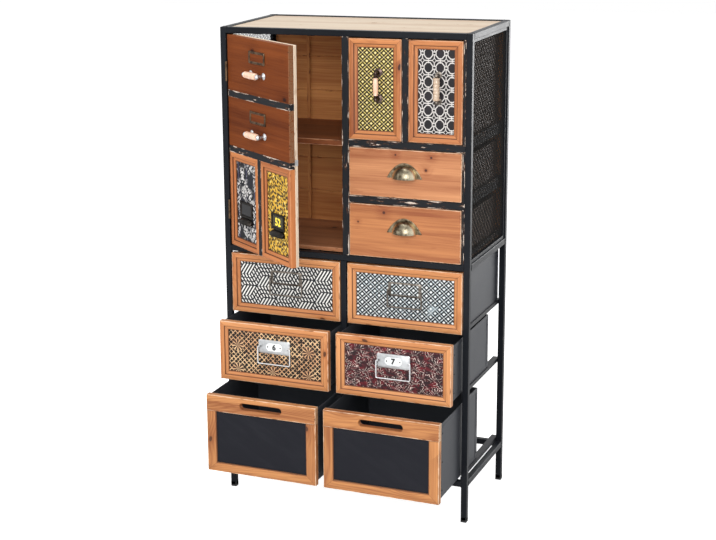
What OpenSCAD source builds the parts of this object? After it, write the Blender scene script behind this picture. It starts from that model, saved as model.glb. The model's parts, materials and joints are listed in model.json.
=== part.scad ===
// Apothecary chest: a steel tube frame with a cupboard, four wooden drawers, four
// sheet steel drawers with patterned fronts and two open bins.
// Lengths are in millimetres. The origin is on the floor, at the centre of the
// frame's footprint. X runs to the right seen from the front, and the front faces -Y.

/* [Frame] */
// Width of the steel frame
case_w = 640; // [610:1:700]
// Depth of the steel frame
case_d = 315; // [295:1:380]
// Side of the square steel tube
tube = 15; // [14:0.5:16]
// Wall of the square steel tube
tube_wall = 1.5; // [1:0.1:2]
// Clear height under the lowest rails
leg_clear = 92; // [70:1:110]
// Thickness of the cap under each post
foot_cap_t = 4; // [3:0.5:6]
// Length of the plug of a foot cap inside its post
foot_plug = 10; // [6:1:15]
// Thickness of the wooden top panel
top_panel_t = 12.5; // [9:0.5:12.5]

/* [Upper section] */
// Height of the tall drawers' opening
tall_open_h = 245; // [210:1:300]
// Distance from the left side of the frame to the divider beside the cupboard
divider_x = 318; // [300:1:330]
// Thickness of the divider
divider_t = 17; // [12:1:20]
// Thickness of the shelves between the wooden drawers
shelf_t = 17; // [12:1:20]
// Thickness of the upright between the two tall drawers
mullion_t = 15; // [12:1:20]
// Width of the strip beside the right post
jamb_w = 6; // [4:0.5:10]
// Height of the opening of the lower cup-pull drawer
cup_low_open = 133; // [115:1:145]
// Height of the opening of the upper cup-pull drawer
cup_high_open = 120; // [110:1:140]
// Thickness of the deck under the upper section
deck_t = 10; // [8:0.5:12]
// Thickness of the back boards
back_t = 8; // [6:0.5:10]
// Number of back boards
back_count = 6; // [4:1:8]
// Width of the upright batten on the back boards
batten_w = 9; // [6:1:20]
// Thickness of the cupboard's shelf
cupboard_shelf_t = 14; // [10:1:18]
// Clear height under the cupboard's shelf
cupboard_low_h = 253; // [220:1:280]

/* [Wire mesh sides] */
// Side of the square bar round each mesh
mesh_bar = 8; // [6:0.5:10]
// Thickness of the mesh
mesh_t = 1.2; // [1:0.1:2]
// Pitch of the mesh's diamonds, drawn coarser than woven
mesh_pitch = 26; // [24:1:40]
// Width of a strand of the mesh
mesh_strand = 3; // [2:0.5:4]

/* [Door] */
// Angle at which the door stands open
door_open = 36.5; // [0:0.5:100]
// Gap round the door
door_gap = 3; // [2.8:0.1:4]
// Thickness of the door's backing panel
slab_t = 8; // [6:0.5:10]
// Thickness of the boards and frames on the backing panel
door_layer_t = 14; // [12:0.5:16]
// Height of the upper false drawer board
door_board_high = 135; // [110:1:150]
// Height of the lower false drawer board
door_board_low = 122; // [100:1:140]
// Width of the black strips on the door
door_strip = 16; // [12:1:20]

/* [Hinges] */
// Radius of a hinge knuckle
knuckle_r = 3; // [2.8:0.1:3.2]
// Length of one hinge knuckle
knuckle_len = 16; // [12:1:22]
// Radius of a hinge pin
hinge_pin_r = 1.5; // [1.2:0.1:1.8]
// Thickness of a hinge leaf
hinge_leaf_t = 1.2; // [0.8:0.1:1.3]
// Distance of each hinge from the end of the door
hinge_inset = 90; // [60:1:140]

/* [Fronts] */
// Thickness of the drawer fronts
front_t = 16; // [14:0.5:20]
// Gap round the wooden drawers' fronts
front_gap = 1.5; // [1:0.25:3]
// Gap on each side of the lower drawers' fronts
lower_gap = 2.5; // [2.3:0.1:4]
// Flat outer width of a front's frame
frame_flat = 12; // [9:1:16]
// Width of the step inside that flat
frame_step = 10; // [6:1:12]
// Depth of the step
step_drop = 4; // [2:0.5:5]
// Depth at which the patterned panel lies behind the frame
panel_recess = 7; // [6:0.5:8]
// Width of the rebate that holds the panel from behind
rebate = 5; // [3:0.5:7]

/* [Lower drawers] */
// Height of a patterned front
pattern_h = 152; // [135:1:160]
// Height of a bin's front
bin_h = 200; // [180:1:210]
// Gap between a row and what is over it
row_gap = 5; // [4:0.5:8]
// Headroom over the bins
bin_headroom = 15; // [10:1:25]
// Gap between the bins and the rail under them
bin_gap = 2; // [1.5:0.5:5]
// Sheet thickness of the steel boxes
sheet = 1.5; // [1:0.1:2]
// Height of a steel box's bottom over the lower edge of its front
box_rise = 10; // [8:0.5:14]
// Height of a front's upper edge over its steel box
box_drop = 5; // [3:0.5:10]
// How far a steel box stands in from each side of its front
box_inset = 1; // [1:0.25:3]
// Clearance behind the steel boxes
box_rear_gap = 9; // [5:1:20]
// Distance at which the numbered drawers stand pulled out
number_out = 80; // [0:1:200]
// Distance at which the bins stand pulled out
bin_out = 165; // [0:1:220]
// Width of the flange that carries a box
runner_flange = 15; // [12:1:18]
// Thickness of a runner's steel
runner_t = 2; // [1.5:0.1:2.2]
// Width of a bin front's side members
bin_side = 26; // [20:1:32]
// Width of a bin front's lower member
bin_foot = 24; // [20:1:32]
// Width of a bin front's upper member
bin_head = 42; // [38:1:50]
// Depth of the chalkboard behind its frame
chalk_recess = 3; // [2:0.5:5]
// Length of the hand slot
slot_len = 112; // [80:1:140]
// Height of the hand slot
slot_h = 17; // [14:0.5:22]

/* [Upper drawers] */
// Thickness of a wooden box's sides
side_t = 9; // [6:0.5:12]
// Thickness of a wooden box's bottom
bottom_t = 4; // [3:0.5:6]
// Clearance on each side of a wooden box
box_side_gap = 2; // [1:0.25:4]
// Headroom over a wooden box
box_headroom = 18; // [12:1:30]
// Clearance behind the wooden boxes
wood_rear_gap = 12; // [8:1:30]

/* [Pulls] */
// Width of a cup pull
cup_w = 88; // [70:1:100]
// Height of a cup pull
cup_h = 37; // [30:1:42]
// Depth of a cup pull
cup_d = 24; // [18:1:30]
// Wall of a cup pull
cup_wall = 1.8; // [1.5:0.1:3]
// Distance between the posts of a spindle pull
spindle_span = 62; // [50:1:70]
// Distance from a front to the axis of its spindle pull
spindle_reach = 18; // [16:0.5:26]
// Radius of the grip at its middle
grip_r = 6.5; // [5:0.5:8]
// Radius of a spindle pull's posts
spindle_post_r = 3.5; // [3:0.25:4.5]
// Shift to the right of the tall drawers' pulls
tall_pull_shift = 6; // [0:0.5:12]
// Rise of the tall drawers' pulls over the middle
tall_pull_rise = 9; // [0:0.5:20]
// Rise of the upper cup pull over the middle of its front
cup_high_rise = 9; // [0:1:24]
// Rise of the lower cup pull over the middle of its front
cup_low_rise = 18; // [0:1:30]
// Drop of the door's pulls under the middle of their boards
door_pull_drop = 16; // [8:1:24]
// Rise of the door's label holders over the middle of their boards
holder_rise = 24; // [18:1:34]
// Width of a label holder
holder_w = 76; // [60:1:90]
// Height of a label holder
holder_h = 30; // [24:1:34]
// Thickness of a label holder
holder_t = 2.5; // [2:0.25:4]
// Width of a card pull on the door
card_w = 58; // [45:1:62]
// Height of a card pull's window plate
card_h = 40; // [34:1:50]
// Width of the rim round a card pull's window
card_rim = 6; // [4:0.5:8]
// Depth of a card pull's hood
hood_r = 14; // [10:0.5:16]
// Drop of the card pulls' plates under the middle of their panels
card_drop = 40; // [20:1:60]

/* [Plates and bails] */
// Width of a plate
plate_w = 90; // [80:1:92]
// Height of a plate
plate_h = 35; // [28:1:36]
// Thickness of a plate
plate_t = 2; // [1.5:0.25:3]
// Rise of a plate over the middle of its drawer
plate_rise = 20; // [14:1:26]
// Radius of a bail's rod
bail_r = 1.75; // [1.5:0.05:2.25]
// Length of a bail's legs
bail_len = 44; // [34:1:46]
// Distance from a plate's end to its ear
ear_inset = 4; // [0:0.5:8]
// Radius of an ear
ear_r = 3.2; // [3:0.1:3.6]
// Distance from the panel to a bail's axis
ear_reach = 5; // [4.5:0.25:7]

/* [Clearances] */
// Fit between a panel and its frame, or a plug and its post
fit_gap = 0.3; // [0.2:0.05:0.5]
// Running gap under a drawer's box
slide_gap = 0.3; // [0.2:0.05:0.5]
// Running clearance round a pin
pin_gap = 0.06; // [0.03:0.01:0.1]

/* [Hidden] */
$fn = 48;

// Small lap that makes a cut pass clean through
lap = 1;
// Gap left for the weld at a rail's end
weld_gap = 0.2;
// Joint between two back boards
board_joint = 0.8;
// Setback of the wooden strips behind the frame's front
strip_setback = 1;
// Clearance between the closed door and what stands behind it
door_rear_gap = 2;
// Steel tabs that carry the top, the deck and the shelf
lug_t = 1.5;
lug_w = 20;
lug_reach = 22;
lug_spread = 70;
// Ball catch of the door
catch_w = 20;
catch_h = 14;
catch_d = 8;
strike_t = 1;

// Heights, from the floor up
rail_top = leg_clear + tube;
bin_z = rail_top + bin_gap;
number_z = bin_z + bin_h + bin_headroom;
mid_z = number_z + pattern_h + row_gap;
mid_rail_z = mid_z + pattern_h + row_gap;
deck_z = mid_rail_z + tube;
deck_top = deck_z + deck_t;
shelf_low_z = deck_z + cup_low_open;
cup_high_z = shelf_low_z + shelf_t;
shelf_high_z = cup_high_z + cup_high_open;
tall_z = shelf_high_z + shelf_t;
roof_z = tall_z + tall_open_h;
case_h = roof_z + tube;
cupboard_shelf_z = deck_top + cupboard_low_h + lug_t;

// Places across the width, from the frame's left side
inner_r = case_w - tube;
bay_x = divider_x + divider_t;
bay_r = inner_r - jamb_w;
tall_open = (bay_r - bay_x - mullion_t) / 2;
mullion_x = bay_x + tall_open;
tall_right_x = mullion_x + mullion_t;
lower_open = (case_w - 3 * tube) / 2;
lower_w = lower_open - 2 * lower_gap;
left_x = tube + lower_gap;
right_x = (case_w + tube) / 2 + lower_gap;
stile_x = (case_w - tube) / 2;

batten_x = tube + (divider_x - tube) * 0.29;

// Places along the depth, from the frame's front
rear_y = case_d - tube;
door_t = slab_t + door_layer_t;
deck_y = door_t + door_rear_gap;
back_y = rear_y + (tube - back_t) / 2;
panel_y = panel_recess + fit_gap;

// The closed door, and the axis that it turns on
door_x = tube + door_gap;
door_w = divider_x - door_gap - door_x;
door_z = deck_z + door_gap;
door_h = roof_z - door_gap - door_z;
hinge_x = tube + door_gap / 2;
hinge_y = -knuckle_r - 0.2;
strip_high_z = door_z + door_h - door_board_high - door_strip;
strip_low_z = strip_high_z - door_board_low - door_strip;
small_w = (door_w - door_strip) / 2;
small_h = strip_low_z - door_z;
hinge_zs = [door_z + hinge_inset, door_z + door_h - hinge_inset];

// Colours
steel = [0.08, 0.08, 0.09];
black_wood = [0.13, 0.12, 0.11];
red_wood = [0.62, 0.33, 0.2];
dark_red_wood = [0.5, 0.24, 0.13];
light_wood = [0.82, 0.56, 0.34];
pale_wood = [0.9, 0.8, 0.66];
brass = [0.55, 0.45, 0.28];
silver = [0.75, 0.76, 0.77];
peach = [0.88, 0.68, 0.55];

// Moves what is measured from the frame's front lower left corner into place
module in_case() {
    translate([-case_w / 2, -case_d / 2, 0]) children();
}

// Turns what is drawn on the closed door to where the door stands
module on_door() {
    in_case()
        translate([hinge_x, hinge_y, 0])
            rotate([0, 0, -door_open])
                translate([-hinge_x, -hinge_y, 0])
                    children();
}

// A piece of square tube with open ends: size is its outer block, along is 0, 1 or 2
module tube_bar(size, along) {
    inside = [for (i = [0:2]) i == along ? size[i] + 2 * lap : size[i] - 2 * tube_wall];
    shift = [for (i = [0:2]) i == along ? -lap : tube_wall];
    difference() {
        cube(size);
        translate(shift) cube(inside);
    }
}

// Places a child at each of the four posts
module at_posts() {
    for (x = [0, inner_r], y = [0, rear_y])
        translate([x, y, 0]) children();
}

module posts() {
    inside = tube - 2 * tube_wall;
    color(steel) in_case() at_posts()
        difference() {
            translate([0, 0, foot_cap_t]) cube([tube, tube, case_h - foot_cap_t]);
            translate([tube_wall, tube_wall, foot_cap_t - lap])
                cube([inside, inside, case_h - foot_cap_t - tube_wall + lap]);
        }
}

module foot_caps() {
    plug = tube - 2 * tube_wall - 2 * fit_gap;
    shift = tube_wall + fit_gap;
    color(steel) in_case() at_posts()
        union() {
            cube([tube, tube, foot_cap_t]);
            translate([shift, shift, 0]) cube([plug, plug, foot_cap_t + foot_plug]);
        }
}

module frame_rails() {
    color(steel) in_case()
        for (z = [leg_clear, mid_rail_z, roof_z]) {
            for (y = [0, rear_y])
                translate([tube, y, z]) tube_bar([case_w - 2 * tube, tube, tube], 0);
            for (x = [0, inner_r])
                translate([x, tube + weld_gap, z])
                    tube_bar([tube, case_d - 2 * tube - 2 * weld_gap, tube], 1);
        }
}

module lower_stiles() {
    color(steel) in_case()
        for (y = [0, rear_y])
            translate([stile_x, y, rail_top])
                tube_bar([tube, tube, mid_rail_z - rail_top], 2);
}

// Angle runner under one outer side of a box: its web stands against the posts
module side_runner(top_z) {
    translate([0, 0, top_z - box_rise]) cube([runner_t, case_d - 2 * lap, box_rise]);
    translate([0, front_t + lap, top_z - runner_t])
        cube([runner_flange, case_d - front_t - 3 * lap, runner_t]);
}

// Tee runner between two boxes: its web runs from stile to stile
module centre_runner(top_z) {
    translate([-tube / 2, tube, top_z - box_rise])
        cube([tube, case_d - 2 * tube, box_rise]);
    translate([-tube / 2 - runner_flange, front_t + 2 * lap, top_z - runner_t])
        cube([tube + 2 * runner_flange, rear_y - front_t - 2 * lap, runner_t]);
}

module drawer_runners() {
    color(steel) in_case()
        for (z = [bin_z, number_z, mid_z]) {
            top_z = z + box_rise - slide_gap;
            translate([tube, lap, 0]) side_runner(top_z);
            translate([inner_r, lap, 0]) mirror([1, 0, 0]) side_runner(top_z);
            translate([case_w / 2, 0, 0]) centre_runner(top_z);
        }
}

module top_panel() {
    color(pale_wood) in_case()
        translate([tube + fit_gap, tube + fit_gap, roof_z])
            cube([case_w - 2 * tube - 2 * fit_gap, case_d - 2 * tube - 2 * fit_gap, top_panel_t]);
}

module support_lugs() {
    cupboard_mid = (tube + divider_x) / 2;
    tall_mids = [bay_x + tall_open / 2, tall_right_x + tall_open / 2];
    lug_xs = [cupboard_mid - lug_spread, cupboard_mid + lug_spread, tall_mids[0], tall_mids[1]];
    shelf_lug_z = cupboard_shelf_z - lug_t;
    color(steel) in_case() {
        for (x = lug_xs) {
            translate([x - lug_w / 2, tube / 2, roof_z - lug_t])
                cube([lug_w, lug_reach, lug_t]);
            translate([x - lug_w / 2, rear_y - lug_reach, roof_z - lug_t])
                cube([lug_w, back_y - rear_y + lug_reach - weld_gap, lug_t]);
            translate([x - lug_w / 2, tube, deck_z - lug_t])
                cube([lug_w, deck_y - tube + lug_reach, lug_t]);
        }
        for (x = [lug_xs[0], lug_xs[1]])
            translate([x - lug_w / 2, back_y - lug_reach, shelf_lug_z])
                cube([lug_w, lug_reach, lug_t]);
        for (y = [case_d / 3, case_d * 2 / 3])
            translate([divider_x - lug_reach, y, shelf_lug_z]) cube([lug_reach, lug_w, lug_t]);
    }
}

module deck_panel() {
    color(light_wood) in_case()
        translate([tube + fit_gap, deck_y, deck_z])
            cube([case_w - 2 * tube - 2 * fit_gap, back_y - deck_y, deck_t]);
}

module divider_panel() {
    color(black_wood) in_case() {
        translate([divider_x, strip_setback, deck_top])
            cube([divider_t, back_y - strip_setback, roof_z - deck_top]);
        translate([divider_x, strip_setback, deck_z])
            cube([divider_t, deck_y - strip_setback, deck_t + lap]);
    }
}

module drawer_shelves() {
    color(black_wood) in_case()
        for (z = [shelf_low_z, shelf_high_z])
            translate([bay_x, strip_setback, z])
                cube([inner_r - bay_x, back_y - strip_setback, shelf_t]);
}

// The upright between the tall drawers, and the strips and guides beside the right post
module face_strips() {
    guide_h = jamb_w * 2;
    levels = [[deck_z, shelf_low_z, deck_top], [cup_high_z, shelf_high_z, cup_high_z],
        [tall_z, roof_z, tall_z]];
    color(black_wood) in_case() {
        translate([mullion_x, strip_setback, tall_z])
            cube([mullion_t, back_y - strip_setback, roof_z - tall_z]);
        for (level = levels) {
            translate([bay_r, strip_setback, level[0]])
                cube([jamb_w, tube - strip_setback, level[1] - level[0]]);
            translate([bay_r, strip_setback, level[2]])
                cube([jamb_w, back_y - strip_setback, guide_h]);
        }
    }
}

// Level back boards, with an upright batten over and under the cupboard's shelf
module back_boards() {
    space = roof_z - deck_z;
    board_h = (space - (back_count - 1) * board_joint) / back_count;
    batten_y = back_y - fit_gap - batten_w / 2;
    high_z = cupboard_shelf_z + cupboard_shelf_t;
    color(red_wood) in_case() {
        for (i = [0:back_count - 1])
            translate([tube, back_y, deck_z + i * (board_h + board_joint)])
                cube([case_w - 2 * tube, back_t, board_h]);
        translate([batten_x, batten_y, deck_top])
            cube([batten_w, batten_w / 2, cupboard_low_h]);
        translate([batten_x, batten_y, high_z])
            cube([batten_w, batten_w / 2, roof_z - lug_t - high_z]);
    }
}

module cupboard_shelf() {
    color(red_wood) in_case()
        translate([tube + fit_gap, deck_y + door_rear_gap, cupboard_shelf_z])
            cube([divider_x - tube - 2 * fit_gap, back_y - deck_y - door_rear_gap - fit_gap,
                cupboard_shelf_t]);
}

// Outline of a mesh with its diamonds cut out, drawn in its own plane
module mesh_outline(w, h) {
    half = mesh_pitch * sqrt(2) / 2;
    cell = mesh_pitch - mesh_strand;
    columns = ceil(w / half);
    rows = ceil(h / half);
    difference() {
        square([w, h]);
        intersection() {
            translate([mesh_bar / 2, mesh_bar / 2]) square([w - mesh_bar, h - mesh_bar]);
            for (i = [0:columns], j = [0:rows])
                if ((i + j) % 2 == 0)
                    translate([i * half, j * half]) rotate(45) square(cell, center = true);
        }
    }
}

// Square bar frame with its mesh, filling the opening between two posts and two rails
module mesh_side() {
    w = case_d - 2 * tube;
    h = roof_z - deck_z;
    bar_x = (tube - mesh_bar) / 2;
    translate([bar_x, tube, deck_z])
        difference() {
            cube([mesh_bar, w, h]);
            translate([-lap, mesh_bar, mesh_bar])
                cube([mesh_bar + 2 * lap, w - 2 * mesh_bar, h - 2 * mesh_bar]);
        }
    translate([(tube - mesh_t) / 2, tube + mesh_bar / 2, deck_z + mesh_bar / 2])
        rotate([90, 0, 90])
            linear_extrude(mesh_t) mesh_outline(w - mesh_bar, h - mesh_bar);
}

module mesh_left() {
    color(steel) in_case() mesh_side();
}

module mesh_right() {
    color(steel) in_case() translate([inner_r, 0, 0]) mesh_side();
}

// Each hinge has three knuckles on its pin: the outer two belong to the post
pin_len = 3 * knuckle_len;

module hinge_post_leaves() {
    color(brass) in_case()
        for (z = hinge_zs) translate([hinge_x, hinge_y, z - pin_len / 2]) {
            for (k = [0, 2])
                translate([0, 0, k * knuckle_len]) cylinder(r = knuckle_r, h = knuckle_len);
            cylinder(r = hinge_pin_r, h = pin_len);
            for (k = [0, 2])
                translate([tube - hinge_x, 0, k * knuckle_len])
                    cube([hinge_leaf_t, -hinge_y + fit_gap, knuckle_len]);
            translate([tube - hinge_x, -hinge_y + fit_gap, 0])
                cube([hinge_leaf_t, tube - 2 * lap, pin_len]);
        }
}

// Height of the door's catch, just under the cupboard's shelf
catch_z = cupboard_shelf_z - lug_t - catch_h - lap;

module door_catch() {
    color(brass) in_case()
        translate([divider_x - catch_d, deck_y, catch_z]) cube([catch_d, catch_w, catch_h]);
}

module door_slab() {
    color(pale_wood) on_door()
        translate([door_x, door_layer_t, door_z]) cube([door_w, slab_t, door_h]);
}

module door_boards() {
    color(dark_red_wood) on_door() {
        translate([door_x, 0, strip_high_z + door_strip])
            cube([door_w, door_layer_t, door_board_high]);
        translate([door_x, 0, strip_low_z + door_strip])
            cube([door_w, door_layer_t, door_board_low]);
    }
}

module door_strips() {
    color(black_wood) on_door() {
        for (z = [strip_low_z, strip_high_z])
            translate([door_x, 0, z]) cube([door_w, door_layer_t, door_strip]);
        translate([door_x + small_w, 0, door_z]) cube([door_strip, door_layer_t, small_h + lap]);
    }
}

// Frame with a stepped inner edge and a rebate behind: its front face lies at y = 0
module stepped_frame(w, h, t) {
    edge = frame_flat + frame_step;
    back = edge - rebate;
    difference() {
        cube([w, t, h]);
        translate([frame_flat, -lap, frame_flat])
            cube([w - 2 * frame_flat, step_drop + lap, h - 2 * frame_flat]);
        translate([edge, -lap, edge]) cube([w - 2 * edge, t + 2 * lap, h - 2 * edge]);
        translate([back, panel_recess, back])
            cube([w - 2 * back, t - panel_recess + lap, h - 2 * back]);
    }
}

// Panel that lies in the rebate of a stepped frame
module frame_panel(w, h, t) {
    edge = frame_flat + frame_step - rebate + fit_gap;
    translate([edge, panel_y, edge])
        cube([w - 2 * edge, t - panel_y - fit_gap, h - 2 * edge]);
}

// Places a child at each of the door's two small frames
module at_small_frames() {
    for (x = [0, small_w + door_strip])
        translate([door_x + x, 0, door_z]) children();
}

module door_frames() {
    color(dark_red_wood) on_door() at_small_frames()
        stepped_frame(small_w, small_h, door_layer_t);
}

module door_panels() {
    color("goldenrod") on_door() at_small_frames()
        frame_panel(small_w, small_h, door_layer_t);
}

// Spindle pull: two posts stand out along -Y and end in knobs, with the grip between
knob_r = spindle_post_r * 1.6;
foot_r = spindle_post_r * 2;
grip_len = spindle_span - 2 * knob_r - 2 * fit_gap;

module spindle_posts() {
    for (s = [-1, 1]) translate([s * spindle_span / 2, 0, 0]) {
        rotate([90, 0, 0]) cylinder(r = foot_r, h = plate_t);
        rotate([90, 0, 0]) cylinder(r = spindle_post_r, h = spindle_reach);
        translate([0, -spindle_reach, 0]) sphere(r = knob_r);
    }
}

// Barrel grip with its axis along X, thickest at its middle
module spindle_grip() {
    bulge = grip_r * 0.35;
    arc_r = (grip_len * grip_len / 4 + bulge * bulge) / (2 * bulge);
    steps = 12;
    curve = [for (i = [0:steps])
        let (z = grip_len * (i / steps - 0.5))
        [grip_r - arc_r + sqrt(arc_r * arc_r - z * z), z]];
    translate([0, -spindle_reach, 0]) rotate([0, 90, 0])
        rotate_extrude() polygon(concat([[0, -grip_len / 2]], curve, [[0, grip_len / 2]]));
}

// Middles of the two boards on the door
board_mids = [strip_low_z + door_strip + door_board_low / 2,
    strip_high_z + door_strip + door_board_high / 2];

// Places a child at the middle of each board on the door, raised by rise
module at_boards(rise) {
    for (z = board_mids)
        translate([door_x + door_w / 2, 0, z + rise]) children();
}

module door_pull_posts() {
    color(silver) on_door() at_boards(-door_pull_drop) spindle_posts();
}

module door_pull_grips() {
    color(peach) on_door() at_boards(-door_pull_drop) spindle_grip();
}

module door_label_holders() {
    rim = holder_h * 0.15;
    color(brass) on_door() at_boards(holder_rise)
        translate([-holder_w / 2, -holder_t, -holder_h / 2])
            difference() {
                cube([holder_w, holder_t, holder_h]);
                translate([rim, -lap, rim])
                    cube([holder_w - 2 * rim, holder_t + 2 * lap, holder_h - 2 * rim]);
            }
}

// Card pull: a window plate over a hood that is open underneath, standing on y = 0
module card_pull() {
    wall = plate_t * 0.75;
    translate([-card_w / 2, -plate_t, 0]) cube([card_w, plate_t, card_h]);
    translate([-card_w / 2, -plate_t - wall, 0])
        difference() {
            cube([card_w, wall + lap, card_h]);
            translate([card_rim, -lap, card_rim])
                cube([card_w - 2 * card_rim, wall + lap, card_h - 2 * card_rim]);
        }
    translate([-card_w / 2, 0, -hood_r])
        intersection() {
            rotate([0, 90, 0])
                difference() {
                    cylinder(r = hood_r, h = card_w);
                    translate([0, 0, wall]) cylinder(r = hood_r - wall, h = card_w - 2 * wall);
                }
            translate([0, -hood_r, 0]) cube([card_w, hood_r, hood_r + wall]);
        }
}

module door_card_pulls() {
    color(black_wood) on_door() at_small_frames()
        translate([small_w / 2, panel_y, small_h / 2 - card_drop]) card_pull();
}

module door_hinge_leaves() {
    leaf_x = door_x - hinge_x - hinge_leaf_t;
    color(brass) on_door()
        for (z = hinge_zs) translate([hinge_x, hinge_y, z - pin_len / 2])
            difference() {
                union() {
                    translate([0, 0, knuckle_len + fit_gap])
                        cylinder(r = knuckle_r, h = knuckle_len - 2 * fit_gap);
                    translate([leaf_x, 0, knuckle_len + fit_gap])
                        cube([hinge_leaf_t, -hinge_y + fit_gap, knuckle_len - 2 * fit_gap]);
                    translate([leaf_x, -hinge_y + fit_gap, 0])
                        cube([hinge_leaf_t, door_t - 2 * lap, pin_len]);
                }
                translate([0, 0, -lap])
                    cylinder(r = hinge_pin_r + pin_gap, h = pin_len + 2 * lap);
            }
}

module door_strike() {
    color(brass) on_door()
        translate([door_x + door_w, door_layer_t, catch_z]) cube([strike_t, slab_t, catch_h]);
}

// Open wooden box of a drawer, from the back of its front to y = rear: five boards
module wood_box(w, h, rear) {
    depth = rear - front_t;
    inner_x = side_t + fit_gap;
    inner_w = w - 2 * inner_x;
    translate([0, front_t, 0]) {
        for (x = [0, w - side_t]) translate([x, 0, 0]) cube([side_t, depth, h]);
        for (y = [0, depth - side_t]) translate([inner_x, y, 0]) cube([inner_w, side_t, h]);
        translate([inner_x, inner_x, 0]) cube([inner_w, depth - 2 * inner_x, bottom_t]);
    }
}

wood_rear = back_y - wood_rear_gap;

module tall_box(open_x) {
    color(light_wood) in_case()
        translate([open_x + box_side_gap, 0, tall_z + slide_gap])
            wood_box(tall_open - 2 * box_side_gap, roof_z - tall_z - box_headroom, wood_rear);
}

tall_front_w = tall_open - 2 * front_gap;
tall_front_h = roof_z - door_gap - front_gap - tall_z;

// Patterned front of a tall drawer: a frame and the panel in it
module tall_front(open_x) {
    color(red_wood) in_case() translate([open_x + front_gap, 0, tall_z + front_gap]) {
        stepped_frame(tall_front_w, tall_front_h, front_t);
        frame_panel(tall_front_w, tall_front_h, front_t);
    }
}

// Upright spindle pull of a tall drawer
module tall_pull(open_x, shade) {
    color(shade) in_case()
        translate([open_x + tall_open / 2 + tall_pull_shift, panel_y,
                tall_z + front_gap + tall_front_h / 2 + tall_pull_rise])
            rotate([0, 90, 0]) {
                spindle_posts();
                spindle_grip();
            }
}

module tall_left_box() { tall_box(bay_x); }
module tall_left_front() { tall_front(bay_x); }
module tall_left_pull() { tall_pull(bay_x, peach); }
module tall_right_box() { tall_box(tall_right_x); }
module tall_right_front() { tall_front(tall_right_x); }
module tall_right_pull() { tall_pull(tall_right_x, pale_wood); }

cup_open_w = bay_r - bay_x;

module cup_box(floor_z, ceiling_z) {
    color(light_wood) in_case()
        translate([bay_x + box_side_gap, 0, floor_z + slide_gap])
            wood_box(cup_open_w - 2 * box_side_gap, ceiling_z - floor_z - box_headroom, wood_rear);
}

module cup_front(open_z, open_h) {
    color(red_wood) in_case()
        translate([bay_x + front_gap, 0, open_z + front_gap])
            cube([cup_open_w - 2 * front_gap, front_t, open_h - 2 * front_gap]);
}

// Half ellipsoid over and in front of the origin, with the given half axes
module cup_form(rx, ry, rz) {
    intersection() {
        scale([rx, ry, rz]) sphere(r = 1, $fn = 40);
        translate([-rx, -ry, 0]) cube([2 * rx, ry, rz]);
    }
}

// Cup pull: a hollow quarter shell, open underneath, on a flat rim
module cup_pull() {
    rim = 4;
    translate([0, 0, -cup_h / 2]) {
        difference() {
            cup_form(cup_w / 2 - rim, cup_d, cup_h - rim);
            translate([0, lap, -lap])
                cup_form(cup_w / 2 - rim - cup_wall, cup_d - cup_wall + lap,
                    cup_h - rim - cup_wall + lap);
        }
        difference() {
            rotate([90, 0, 0]) linear_extrude(cup_wall)
                intersection() {
                    scale([cup_w / 2, cup_h]) circle(r = 1, $fn = 64);
                    translate([-cup_w / 2, 0]) square([cup_w, cup_h]);
                }
            translate([0, lap, -lap])
                cup_form(cup_w / 2 - rim - cup_wall, cup_d, cup_h - rim - cup_wall + lap);
        }
    }
}

module place_cup_pull(middle_z) {
    color(brass) in_case() translate([bay_x + cup_open_w / 2, 0, middle_z]) cup_pull();
}

module cup_high_box() { cup_box(cup_high_z, shelf_high_z); }
module cup_high_front() { cup_front(cup_high_z, cup_high_open); }
module cup_high_pull() { place_cup_pull(cup_high_z + cup_high_open / 2 + cup_high_rise); }
module cup_low_box() { cup_box(deck_top, shelf_low_z); }
module cup_low_front() { cup_front(deck_z, cup_low_open); }
module cup_low_pull() { place_cup_pull(deck_z + cup_low_open / 2 + cup_low_rise); }

// Places a child with its front pulled out by out, its left side at x and its foot at z
module lower_drawer(x, z, out) {
    in_case() translate([x, -out, z]) children();
}

// Open sheet steel box behind a lower front of height h
module steel_box(h) {
    w = lower_w - 2 * box_inset;
    depth = case_d - box_rear_gap - front_t;
    tall = h - box_rise - box_drop;
    translate([box_inset, front_t, box_rise])
        difference() {
            cube([w, depth, tall]);
            translate([sheet, sheet, sheet]) cube([w - 2 * sheet, depth - 2 * sheet, tall]);
        }
}

module pattern_box(x, z, out) {
    color(steel) lower_drawer(x, z, out) steel_box(pattern_h);
}

module pattern_front(x, z, out) {
    color(light_wood) lower_drawer(x, z, out) {
        stepped_frame(lower_w, pattern_h, front_t);
        frame_panel(lower_w, pattern_h, front_t);
    }
}

// Length of an ear, and the distance of its middle from the middle of its plate
ear_len = 4;
ear_x = (plate_w - ear_len) / 2 - ear_inset;

// Plate with a card window and two ears that carry the bail, standing on y = 0
module bail_plate() {
    corner = plate_h / 4;
    window_w = plate_w * 0.56;
    window_h = plate_h * 0.66;
    rotate([90, 0, 0]) linear_extrude(plate_t)
        union() {
            square([plate_w - 2 * corner, plate_h], center = true);
            for (x = [-1, 1], z = [-1, 1])
                translate([x * (plate_w / 2 - corner), z * (plate_h / 2 - corner)])
                    circle(r = corner);
        }
    rotate([90, 0, 0]) linear_extrude(plate_t + 1)
        difference() {
            square([window_w, window_h], center = true);
            square([window_w - 4, window_h - 4], center = true);
        }
    for (s = [-1, 1]) translate([s * ear_x - ear_len / 2, -ear_reach, 0])
        difference() {
            union() {
                rotate([0, 90, 0]) cylinder(r = ear_r, h = ear_len);
                translate([0, 0, -ear_r]) cube([ear_len, ear_reach, 2 * ear_r]);
            }
            translate([-lap, 0, 0]) rotate([0, 90, 0])
                cylinder(r = bail_r + pin_gap, h = ear_len + 2 * lap);
        }
}

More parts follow.
